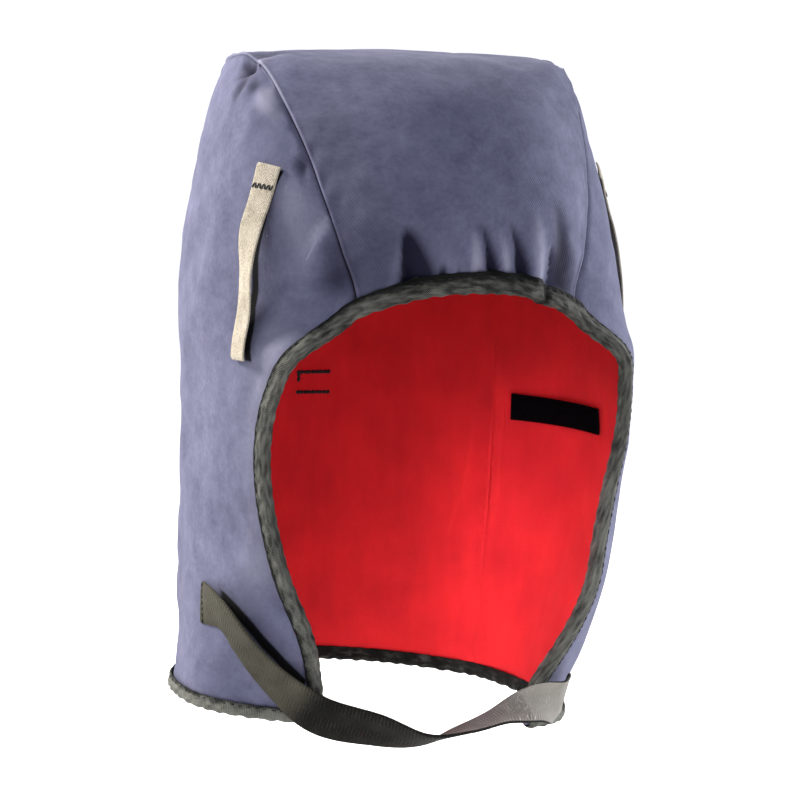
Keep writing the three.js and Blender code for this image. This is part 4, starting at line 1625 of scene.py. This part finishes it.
@dataclass
class Binding:
    """Dark tape folded over the hood's edges and stitched through."""

    form: HoodForm
    legs: tuple[LegRow, ...] = (
        LegRow(1.0, 0.65, -1.3, -0.5),
        LegRow(0.86, 0.45, -1.1, -0.2),
        LegRow(0.72, 0.35, -0.2, 0.3),
        LegRow(0.45, 0.1, 0.25, 0.7),
        LegRow(0.2, 0.0, 0.25, 0.7),
    )
    leg: float = 5.2
    brow_leg: float = 8.8
    brow_half: float = 50.0
    brow_z: float = -118.0
    wall: float = 0.8
    proud: float = 1.5
    thick: float = 6.2
    fold: float = 1.45
    fold_centre: float = 1.0
    spacing: float = 1.6
    face_flat: tuple[float, float] = (0.019, 0.53)
    hem_flat: tuple[float, float] = (0.019, 0.43)
    face_seed: int = 71
    hem_seed: int = 83
    face_pucker: float = 0.55
    hem_pucker: float = 0.95
    gathers: tuple[tuple[float, float], ...] = ((7.3, 0.6), (4.4, 0.4))
    gather_slant: float = 0.9
    gather_stray: float = 3.0
    stray_lengths: tuple[float, float] = (30, 60)
    brow_gather: float = 0.6
    outer_end_loose: float = 0.3
    fold_loose: float = 0.7
    inner_end_loose: float = 0.2
    # Painted shade on the inner leg, over the brow and in the brow notch.
    face_inside_painted_shade: float = 0.0
    hem_inside_painted_shade: float = -0.8
    brow_painted_shade: float = -0.42
    notch_x: float = 31.5
    notch_width: float = 1.5
    notch_painted_shade: float = -1.8
    notch_depth: float = 1.1
    follow: float = 0.7
    pleat_share: float = 0.9
    pleat_from: float = 0.2
    pleat_slope: float = 1.5
    stitch_share: float = 0.76
    stitch_step: float = 3.6
    stitch_margin: float = 2.0
    stitch_sink: float = 0.25
    stitch_follow: float = 0.7
    stray: float = 0.5
    end_clearance: float = 7.6
    section_arc: int = 9
    side_inner: int = 8
    brow_inner: int = 5
    hem_inner: int = 5
    nape_inner: int = -3
    stitch: Stitch = field(default_factory=Stitch)

    def section(self) -> tuple[Array, Array, Array]:
        """Folded section, from the outer leg's end round the edge to the inner leg's end.

        Returns:
            Shares of a leg's length, distances inward beyond those, and distances out of the shell's face.
        """
        turn = np.radians(np.linspace(90, 270, self.section_arc))
        legs = np.array([row.share for row in self.legs])
        groove = np.array([row.groove for row in self.legs])
        straight = np.zeros_like(legs)
        share = np.concatenate([legs, np.zeros(self.section_arc), legs[::-1]])
        inward = np.concatenate([straight, self.fold * np.cos(turn), straight])
        half = self.thick / 2
        folded = self.proud - half + half * np.sin(turn)
        outward = np.concatenate([self.proud - groove, folded, self.proud - self.thick + groove[::-1]])
        return share, inward, outward

    def painted_light_round(self, outer: Sequence[float], inside: float) -> Array:
        """Painted light and shade at each point of the section.

        Args:
            outer: Painted light and shade of the outer leg, whose last goes on to the middle of the fold.
            inside: Painted light and shade from there to the inner leg's end.

        Returns:
            Painted light and shade from the outer leg's end to the inner leg's end.
        """
        to_middle = self.section_arc // 2
        from_middle = self.section_arc - to_middle + len(self.legs)
        return np.array([*outer, *[outer[-1]] * to_middle, *[inside] * from_middle])

    def build(self, bases: dict[str, Sheet]) -> None:
        """Bind the face opening and the hem.

        Args:
            bases: Base surfaces of the shell's panels.
        """
        face_painted_light = self.painted_light_round([row.face_painted_light for row in self.legs], self.face_inside_painted_shade)
        hem_painted_light = self.painted_light_round([row.hem_painted_light for row in self.legs], self.hem_inside_painted_shade)
        face, hem = self.face_path(bases), self.hem_path(bases)
        self.bind("face_binding", face, self.face_seed, self.face_pucker, face_painted_light)
        self.bind("hem_binding", hem, self.hem_seed, self.hem_pucker, hem_painted_light)

    def face_path(self, bases: dict[str, Sheet]) -> EdgePath:
        """Path up the right of the face opening, over the brow and down the left.

        Args:
            bases: Base surfaces of the shell's panels.

        Returns:
            The path.
        """
        def side_edge(sheet: Sheet) -> tuple[Array, Array, Array]:
            """Face edge of a side panel, from above the hem binding to below the brow.

            Args:
                sheet: The panel's base surface.

            Returns:
                Points, outward normals and next points in.
            """
            run = lengths_along(sheet.points[:, 0])
            brow_ends = crown.points[0, [0, -1]][:, None]
            brow = np.argmin(np.linalg.norm(sheet.points[:, 0] - brow_ends, axis=-1).min(0))
            rows = np.flatnonzero((run > self.end_clearance) & (np.arange(len(run)) < brow))
            return sheet.points[rows, 0], sheet.outward[rows, 0], sheet.points[rows, self.side_inner]

        crown = bases["crown"]
        brow = crown.points[0], crown.outward[0], crown.points[self.brow_inner]
        right, left = side_edge(bases["right"]), side_edge(bases["left"])
        return EdgePath.joined([right, brow, tuple(rows[::-1] for rows in left)], self.spacing)

    def hem_path(self, bases: dict[str, Sheet]) -> EdgePath:
        """Path along the hem from the right front corner round the back to the left front corner.

        Args:
            bases: Base surfaces of the shell's panels.

        Returns:
            The path.
        """
        def hem(sheet: Sheet, row: int, inner: int) -> tuple[Array, Array, Array]:
            """Hem of a panel."""
            return sheet.points[row], sheet.outward[row], sheet.points[inner]

        right = hem(bases["right"], 0, self.hem_inner)
        back = hem(bases["crown"], -1, self.nape_inner)
        left = tuple(rows[::-1] for rows in hem(bases["left"], 0, self.hem_inner))
        return EdgePath.joined([right, back, left], self.spacing)

    def bind(
        self, name: str, path: EdgePath, seed: int, pucker: float, wear: Array
    ) -> None:
        """Make one binding and its stitches.

        Args:
            name: Name of its node, which the piece takes with _tape added.
            path: Edge that it folds over.
            seed: Seed of its puckers.
            pucker: Height of its puckers.
            wear: Painted light and shade at each point of its section.
        """
        share, inward, outward = (row[:, None] for row in self.section())
        x, y, z = path.points.T
        brow = bell(x, self.brow_half) * (z > self.brow_z) * (y < 0)
        notch = bell(x - self.notch_x, self.notch_width) * (brow > 0)
        leg = self.leg + (self.brow_leg - self.leg) * brow
        inward = share * leg + inward
        pleat = self.form.wrinkle(path.at(leg * self.pleat_share, np.zeros_like(leg)))
        is_outer = np.arange(len(share))[:, None] < len(share) // 2
        follow = self.follow * np.clip((share - self.pleat_from) * self.pleat_slope, 0, 1)
        drop = (pleat * follow + self.notch_depth * notch) * is_outer
        base = path.at(inward, outward - drop).transpose(1, 0, 2)
        run = lengths_along(path.points)
        stray = Undulation(seed, *self.stray_lengths, self.gather_stray).at(path.points)
        slant = (run + stray)[:, None] + self.gather_slant * inward.T
        gather = self.gathered(slant) * (1 + self.brow_gather * brow[:, None])
        middle = np.full((1, 1), self.proud - self.thick / 2)
        centre = path.at(np.full((1, 1), self.fold_centre), middle).transpose(1, 0, 2)
        puckered = base + unit(base - centre) * (pucker * gather)[..., None]
        # Painted shade over the brow and in the notch, added to the section's painted light and shade.
        worn_and_painted_light = wear + (self.brow_painted_shade * brow + self.notch_painted_shade * notch)[:, None]
        piece = sheet_object(
            f"{name}_tape", Sheet(puckered, run_coordinates(base), centre, wear=worn_and_painted_light), MATERIALS["binding"]
        )
        thicken(piece, self.wall)
        seat(piece, Slot.BINDING, name)
        sunk = self.stitch_sink + self.follow * self.stitch_follow * pleat
        line = path.at(leg * self.stitch_share, self.proud - sunk)
        stitches = self.sew_along(f"{name}_stitches", line, path.outward, run, seed)
        seat(stitches, Slot.BINDING)

    def gathered(self, slant: Array) -> Array:
        """Gathers of the tape, which its stitches hold down at the legs' ends.

        Args:
            slant: Length run along the binding at each point, with the gathers' slant.

        Returns:
            Height of the gathers at each point, from about -1 to 1.
        """
        gather = sum(share * np.sin(slant * 2 * math.pi / spacing) for spacing, share in self.gathers)
        loose = np.concatenate([
            np.linspace(self.outer_end_loose, 1, len(self.legs)),
            np.full(self.section_arc, self.fold_loose),
            np.linspace(1, self.inner_end_loose, len(self.legs)),
        ])
        return gather * loose

    def sew_along(self, name: str, line: Array, outward: Array, run: Array, seed: int) -> bpy.types.Object:
        """Sew one line of stitches along a binding.

        Args:
            name: Name of the piece.
            line: Points of the stitched line.
            outward: Directions out of the cloth there.
            run: Length run along the binding there.
            seed: Seed of the places that stray.

        Returns:
            The stitches, as one piece.
        """
        places = np.arange(self.stitch_margin, run[-1] - self.stitch_margin, self.stitch_step)
        places = places + np.random.default_rng(seed).uniform(-self.stray, self.stray, len(places))
        rows = np.column_stack([np.interp(places, run, column) for column in line.T])
        ways = np.column_stack([np.interp(places, run, column) for column in outward.T])
        return self.stitch.sew(name, rows, np.gradient(rows, axis=0), ways)


class StrapSpot(NamedTuple):
    """Place of the strap on a side panel, its lift off it and the turn that raises its upper edge."""

    name: str
    y: float
    z: float
    lift: float
    turn: float = 0.0


class StrapTurn(NamedTuple):
    """Place of the strap under the chin, and its turn away from standing on edge."""

    name: str
    x: float
    y: float
    z: float
    turn: float


@dataclass
class Band:
    """Woven band along a route: its middle line and its directions across and out."""

    middle: Array
    across: Array
    outward: Array
    closeness: float = 0.6
    edge_power: int = 6

    def sheet(self, width: float, columns: int, cup: float) -> Sheet:
        """Outer face of the band, with thin rounded edges.

        Args:
            width: Width of the band.
            columns: Points across it.
            cup: How far its edges drop below its middle.

        Returns:
            The face as a grid along the band.
        """
        share = closer_at_ends(columns, self.closeness)
        drop = -cup * np.abs(share) ** self.edge_power
        points = (
            self.middle[:, None]
            + self.across[:, None] * (share * width / 2)[None, :, None]
            + self.outward[:, None] * drop[None, :, None]
        )
        return Sheet(points, run_coordinates(points), (self.middle - self.outward * width)[:, None])


@dataclass
class ChinStrap:
    """Dark webbing from side to side, half turned under the chin."""

    form: HoodForm
    width: float = 19.0
    wall: float = 1.5
    steps: int = 150
    columns: int = 13
    on_right: tuple[StrapSpot, ...] = (
        StrapSpot("end", -18.5, -238.2, 1.3),
        StrapSpot("side", -34, -239, 2.8, 17),
        StrapSpot("cheek", -41.5, -243.5, 3.8, 20),
        StrapSpot("above corner", -47, -253, 4.4, 20),
        StrapSpot("corner", -49.3, -267.5, 5, 14),
    )
    under_chin: tuple[StrapTurn, ...] = (
        StrapTurn("past right corner", -53, -57.5, -281.2, 18),
        StrapTurn("right of chin", -30, -66.5, -287, 31),
        StrapTurn("middle", -9, -72.5, -291.4, 65),
        StrapTurn("twist", 9, -72, -288, 82),
        StrapTurn("left of chin", 28, -67.2, -284, 93),
        StrapTurn("past left corner", 44, -64, -280.3, 128),
    )
    on_left: tuple[StrapSpot, ...] = (
        StrapSpot("corner", -49.5, -274.5, 8),
        StrapSpot("end", -45, -273, 4),
    )
    cup: float = 0.5
    # Painted light on the strap's side stretch, up to a run from its right end, and painted shade past the
    # corner.
    painted_light_to: tuple[float, float] = (68.0, 82.0)
    past_corner_painted_shade: float = 0.8
    tack_from_end: float = 3.4
    tack_groove: float = 0.7
    groove_width: float = 0.9
    tack_reach: float = 0.42
    tack_stitches: int = 7
    end_drop: float = 0.8
    drop_width: float = 0.7
    end_swell: float = 0.25
    swell_width: float = 4.0
    stitch_lift: float = 0.1
    stitch: Stitch = field(default_factory=lambda: Stitch(2.2, 0.7, 0.6))

    def on_panel(self, side: Side, spots: Sequence[StrapSpot]) -> tuple[Array, Array, Array]:
        """Middle of the strap, the panel's normals and the strap's turns at spots on a side panel."""
        y, z, lift, turn = (np.array(column) for column in zip(*[spot[1:] for spot in spots]))
        points, normals, _ = self.form.spot(side, y, z)
        return points + normals * lift[:, None], normals, np.radians(turn)[:, None]

    def route(self) -> Band:
        """Route of the strap's outer face.

        Returns:
            The band, finely stepped from the right end to the left.
        """
        right, right_normals, turns = self.on_panel(Side.RIGHT, self.on_right)
        left, left_normals, _ = self.on_panel(Side.LEFT, self.on_left)
        chin = np.array([turn[1:4] for turn in self.under_chin])
        middles = np.vstack([right, chin, left])
        curve = Spline.through(middles)
        rows = np.arange(len(middles), dtype=float)
        step = 0.02
        ways = unit(curve.at_row(rows + step) - curve.at_row(rows - step))
        across = np.zeros_like(middles)
        upper = unit(np.cross(right_normals, ways[: len(right)]))
        across[: len(right)] = upper * np.cos(turns) + right_normals * np.sin(turns)
        across[-len(left) :] = unit(np.cross(-left_normals, ways[-len(left) :]))
        for row, turn in enumerate(self.under_chin, start=len(right)):
            upright = unit(np.array([0, 0, 1.0]) - ways[row] * ways[row, 2])
            spin = math.radians(turn.turn)
            across[row] = upright * math.cos(spin) + np.cross(ways[row], upright) * math.sin(spin)
        widths = Spline(curve.places, across)
        fine = np.linspace(0, curve.places[-1], self.steps)
        middle = curve.at(fine)
        along = unit(np.gradient(middle, axis=0))
        side = widths.at(fine)
        side = unit(side - along * (side * along).sum(-1, keepdims=True))
        outward = np.cross(along, side)
        return Band(middle + outward * self.wall / 2, side, outward)

    def build(self) -> None:
        """Build the strap and the stitches that hold its ends."""
        band = self.route()
        run = lengths_along(band.middle)
        ends = np.minimum(run, run[-1] - run)
        groove = self.tack_groove * bell(ends - self.tack_from_end, self.groove_width)
        drop = self.end_drop * bell(ends, self.drop_width)
        rise = self.end_swell * bell(ends, self.swell_width) - (groove + drop)
        band.middle = band.middle + band.outward * rise[:, None]
        sheet = band.sheet(self.width, self.columns, self.cup)
        # Painted light on the side stretch and painted shade from the corner on.
        sheet.wear = np.tile(1 - (1 + self.past_corner_painted_shade) * ease(run, *self.painted_light_to)[:, None], self.columns)
        piece = sheet_object("chin_strap_webbing", sheet, MATERIALS["webbing"])
        thicken(piece, self.wall, MATERIALS["webbing_back"])
        seat(piece, Slot.WEBBING, "chin_strap")
        places, ways, outs = [], [], []
        for end in (self.tack_from_end, run[-1] - self.tack_from_end):
            row = int(np.argmin(np.abs(run - end)))
            face = band.middle[row] + band.outward[row] * self.stitch_lift
            for share in np.linspace(-self.tack_reach, self.tack_reach, self.tack_stitches):
                places.append(face + band.across[row] * share * self.width)
                ways.append(band.across[row])
                outs.append(band.outward[row])
        stitches = self.stitch.sew("chin_strap_stitches", np.array(places), np.array(ways), np.array(outs))
        seat(stitches, Slot.WEBBING)


class LoopPlace(NamedTuple):
    """Tape loop on a side panel: its way down in side view, its share of slack and its turn in degrees."""

    side: Side
    way: tuple[tuple[float, float], ...]
    slack: float
    turn: float


@dataclass
class TapeLoops:
    """Cream tape loops that take a helmet's suspension, sewn down at both ends."""

    form: HoodForm
    width: float = 13.0
    wall: float = 0.9
    steps: int = 70
    columns: int = 11
    top_z: float = -44.8
    bottom_z: float = -128.0
    lift: float = 0.35
    places: tuple[LoopPlace, ...] = (
        LoopPlace(
            Side.RIGHT, ((0, -44), (0.2, -45), (0.34, -46.4), (0.46, -48), (0.7, -48.8), (1, -49.8)),
            slack=1.0, turn=27,
        ),
        LoopPlace(
            Side.LEFT, ((0, -40), (0.25, -31.8), (0.5, -26), (0.75, -22.8), (1, -22)),
            slack=0.6, turn=0,
        ),
    )
    profile: tuple[tuple[float, float], ...] = (
        (0, 0.1), (0.13, 0.1), (0.2, 0.7), (0.3, 2.5), (0.42, 3.7), (0.58, 3.7), (0.72, 2.3), (0.84, 0.5),
        (0.92, 0.1), (1, 0.1),
    )
    cup: float = 0.3
    turn_over: tuple[float, float] = (0.28, 0.58)
    turn_back: float = 0.6
    back_over: tuple[float, float] = (0.6, 1.0)
    end_swell: float = 0.5
    swell_width: float = 6.0
    end_drop: float = 0.8
    drop_width: float = 0.8
    tack_share: float = 0.11
    tack_reach: float = 0.4
    tack_stitches: int = 9
    tack_slant: float = 0.35
    stitch_lift: float = 0.1
    stitch: Stitch = field(default_factory=lambda: Stitch(2.9, 0.9, 0.6))

    def build(self) -> None:
        """Build both loops and their bar tacks."""
        stand_off = Spline.by(self.profile)
        share = np.linspace(0, 1, self.steps)
        for place in self.places:
            y = Spline.by(place.way).at(share)[:, 0]
            z = self.top_z + (self.bottom_z - self.top_z) * share
            points, normals, level = self.form.spot(place.side, y, z)
            turn = np.radians(place.turn) * ease(share, *self.turn_over)
            turn = turn * (1 - self.turn_back * ease(share, *self.back_over))
            slack = np.maximum(place.slack * stand_off.at(share)[:, 0], np.sin(turn) * self.width / 2)
            height = self.lift + slack + self.wall
            ends = np.minimum(share, 1 - share) * (self.top_z - self.bottom_z)
            height = height + self.end_swell * bell(ends, self.swell_width)
            height = height - self.end_drop * bell(ends, self.drop_width)
            along = unit(np.gradient(points, axis=0))
            across = unit(level - along * (level * along).sum(-1, keepdims=True))
            turned = across * np.cos(turn)[:, None] - normals * np.sin(turn)[:, None]
            facing = normals * np.cos(turn)[:, None] + across * np.sin(turn)[:, None]
            band = Band(points + normals * height[:, None], turned, facing)
            self.loop(place.side, band, share)

    def loop(self, side: Side, band: Band, share: Array) -> None:
        """Make one loop.

        Args:
            side: Side of the wearer.
            band: Route of its outer face.
            share: Share of its length at each step.
        """
        name = f"suspension_loop_{side.name.lower()}"
        face = band.sheet(self.width, self.columns, self.cup)
        piece = sheet_object(f"{name}_tape", face, MATERIALS["tape"])
        thicken(piece, self.wall)
        seat(piece, Slot.TAPE, name)
        row = int(np.argmin(np.abs(share - self.tack_share)))
        across, outward = band.across[row], band.outward[row]
        spread = np.linspace(-self.tack_reach, self.tack_reach, self.tack_stitches) * self.width
        places = band.middle[row] + across * spread[:, None] + outward * self.stitch_lift
        along = unit(np.gradient(band.middle, axis=0))[row]
        zigzag = self.tack_slant * (-1.0) ** np.arange(self.tack_stitches)
        slant = along + across * zigzag[:, None]
        stitches = self.stitch.sew(f"{name}_bar_tack", places, slant, np.tile(outward, (len(places), 1)))
        seat(stitches, Slot.TAPE)


class Tack(NamedTuple):
    """Bar tack on the back of the lining: its ends across and its height."""

    right: float
    left: float
    z: float


@dataclass
class LiningTrim:
    """Black pile patch and thread tacks on the lining."""

    form: HoodForm
    front_y: float = -7.5
    back_y: float = 53.5
    top_z: float = -155.0
    bottom_z: float = -168.0
    wall: float = 1.2
    depth: float = 4.1
    columns: int = 46
    rows: int = 14
    edge_drop: float = 0.6
    sewn_line: int = 2
    sewn_drop: float = 0.25
    length_by_depth: float = 1.15
    tacks: tuple[Tack, ...] = (Tack(-12.4, 3.2, -148.7), Tack(-12.4, 3.2, -158.7))
    tack_depth: float = 3.4
    tack_stitches: int = 9
    tack_way: tuple[float, float, float] = (1.0, 0.0, 0.12)
    tick_x: float = -12.2
    tick_heights: tuple[float, ...] = (-152.2, -150.6)
    tick_way: tuple[float, float, float] = (0.25, 0.0, 1.0)
    back_rows: tuple[float, float] = (7, 9)
    back_reach: float = 0.4
    back_grid: tuple[int, int] = (200, 81)
    stitch: Stitch = field(default_factory=lambda: Stitch(2.8, 2.0, 1.1))

    def build(self) -> None:
        """Build the patch and the tacks."""
        across = np.linspace(self.front_y, self.back_y, self.columns)
        up = np.linspace(self.bottom_z, self.top_z, self.rows)
        y, z = np.meshgrid(across, up)
        points, normals, _ = self.form.spot(Side.LEFT, y, z)
        places = (np.arange(self.rows), np.arange(self.columns))
        border = np.minimum.outer(*(np.minimum(place, place[::-1]) for place in places))
        drop = self.edge_drop * (border == 0) + self.sewn_drop * (border == self.sewn_line)
        face = points - normals * (self.depth + self.wall - drop)[..., None]
        pile = Sheet(face, run_coordinates(face), points)
        patch = sheet_object("lining_patch_pile", pile, MATERIALS["patch"])
        thicken(patch, self.wall)
        seat(patch, Slot.PATCH, "lining_patch")
        self.sew_tacks()

    def sew_tacks(self) -> None:
        """Sew the bar tacks and their upright tick on the lining at the back."""
        places, along = [], []
        for tack in self.tacks:
            for x in np.linspace(tack.right, tack.left, self.tack_stitches):
                places.append((x, tack.z))
                along.append(self.tack_way)
        for z in self.tick_heights:
            places.append((self.tick_x, z))
            along.append(self.tick_way)
        row_count, column_count = self.back_grid
        rows = np.linspace(*self.back_rows, row_count)
        back = self.form.crown_sheet(rows, np.linspace(-self.back_reach, self.back_reach, column_count))
        flat = back.points.reshape(-1, 3)
        near = [np.argmin((flat[:, 0] - x) ** 2 + (flat[:, 2] - z) ** 2) for x, z in places]
        out = back.outward.reshape(-1, 3)[near]
        spots = flat[near] - out * self.tack_depth
        along = np.array(along)
        stitches = self.stitch.sew("lining_bar_tacks", spots, along, -out)
        seat(stitches, Slot.LINING)


class SoftBox(NamedTuple):
    """Soft light: where it stands and aims, its size, its power in watts and its spread in degrees."""

    name: str
    place: tuple[float, float, float]
    aim: tuple[float, float, float]
    width: float
    height: float
    power: float
    spread: float = 180.0
    tint: tuple[float, float, float] = (1.0, 1.0, 1.0)


PICTURE_MIDDLE = (0.0, -0.01, -0.15)


def lining_boxes(count: int = 4, spacing: float = 0.11) -> tuple[SoftBox, ...]:
    """Narrow lights, one over another, that reach the lining through the face opening.

    Args:
        count: Number of lights.
        spacing: Height of each over the one below.

    Returns:
        The lights, from the lowest up.
    """
    aim = (0.115, 0.03, -0.25)
    return tuple(
        SoftBox(
            f"lining_box_{number}", (-0.62, -1.35, spacing * number), aim,
            width=0.1, height=0.1, power=0.0285, spread=7,
        )
        for number in range(count)
    )


@dataclass
class Studio:
    """Pale floor, soft lights and the camera at the photograph's angle, in metres."""

    floor_z: float = -0.42
    floor_half: float = 120.0
    sky: float = 1.1
    sky_tint: Colour = (0.965, 0.975, 1.03, 1)
    boxes: tuple[SoftBox, ...] = (
        SoftBox(
            "left_box", (-0.74, 0.6, 0.46), PICTURE_MIDDLE,
            width=0.25, height=0.3, power=36.0, tint=(1.0, 0.95, 0.88),
        ),
        SoftBox("right_box", (1.55, 0.32, 0.2), PICTURE_MIDDLE, width=0.5, height=0.8, power=45.0),
        *lining_boxes(),
    )
    aim: tuple[float, float, float] = PICTURE_MIDDLE
    azimuth: float = -22.0
    elevation: float = 6.5
    roll: float = 2.0
    distance: float = 1.6
    pixel: float = 0.000445
    principal: tuple[float, float] = (402.0, 399.0)
    picture: float = 800.0
    sensor_mm: float = 36.0

    def build(self) -> None:
        """Set up the floor, the lights and the camera."""
        ground = bmesh.new()
        place = Matrix.Translation((0, 0, self.floor_z))
        bmesh.ops.create_grid(ground, x_segments=1, y_segments=1, size=self.floor_half, matrix=place)
        mesh_object("floor", ground, MATERIALS["floor"])
        for box in self.boxes:
            self.light(box)
        world = bpy.data.worlds.new("studio")
        world.use_nodes = True
        background = world.node_tree.nodes["Background"]
        background.inputs["Color"].default_value = self.sky_tint
        background.inputs["Strength"].default_value = self.sky
        bpy.context.scene.world = world
        bpy.context.scene.view_settings.view_transform = "Standard"
        self.camera()

    def light(self, box: SoftBox) -> None:
        """Place one soft light, facing its aim.

        Args:
            box: The light.
        """
        data = bpy.data.lights.new(box.name, "AREA")
        data.shape = "RECTANGLE"
        data.size, data.size_y = box.width, box.height
        data.energy = box.power
        data.color = box.tint
        data.spread = math.radians(box.spread)
        lamp = bpy.data.objects.new(box.name, data)
        lamp.location = box.place
        lamp.rotation_euler = (Vector(box.aim) - Vector(box.place)).to_track_quat("-Z", "Y").to_euler()
        bpy.context.scene.collection.objects.link(lamp)

    def camera(self) -> None:
        """Place the camera where the photograph was taken from."""
        turn, lift, roll = (math.radians(value) for value in (self.azimuth, self.elevation, self.roll))
        back = Vector((math.sin(turn) * math.cos(lift), -math.cos(turn) * math.cos(lift), math.sin(lift)))
        level = Vector((math.cos(turn), math.sin(turn), 0))
        rise = back.cross(level)
        right = level * math.cos(roll) + rise * math.sin(roll)
        up = rise * math.cos(roll) - level * math.sin(roll)
        place = Vector(self.aim) + back * self.distance
        aside = (self.principal[0] - self.picture / 2) * self.pixel
        above = (self.picture / 2 - self.principal[1]) * self.pixel
        look = (Vector(self.aim) - right * aside - up * above - place).normalized()
        right = look.cross(up).normalized()
        up = right.cross(look)
        data = bpy.data.cameras.new("camera")
        data.sensor_width = self.sensor_mm
        data.lens = self.distance / self.pixel * self.sensor_mm / self.picture
        camera = bpy.data.objects.new("camera", data)
        turned = Matrix((right, up, -look)).transposed().to_4x4()
        camera.matrix_world = Matrix.Translation(place) @ turned
        bpy.context.scene.collection.objects.link(camera)
        bpy.context.scene.camera = camera


def main() -> None:
    """Build the liner piece by piece and set up the studio."""
    logging.basicConfig(level=logging.INFO, format="%(name)s: %(message)s")
    make_materials()
    form = HoodForm()
    Studio().build()
    bases = Shell(form).build()
    Lining(form).build()
    Binding(form).build(bases)
    ChinStrap(form).build()
    TapeLoops(form).build()
    LiningTrim(form).build()


if __name__ == "__main__":
    main()
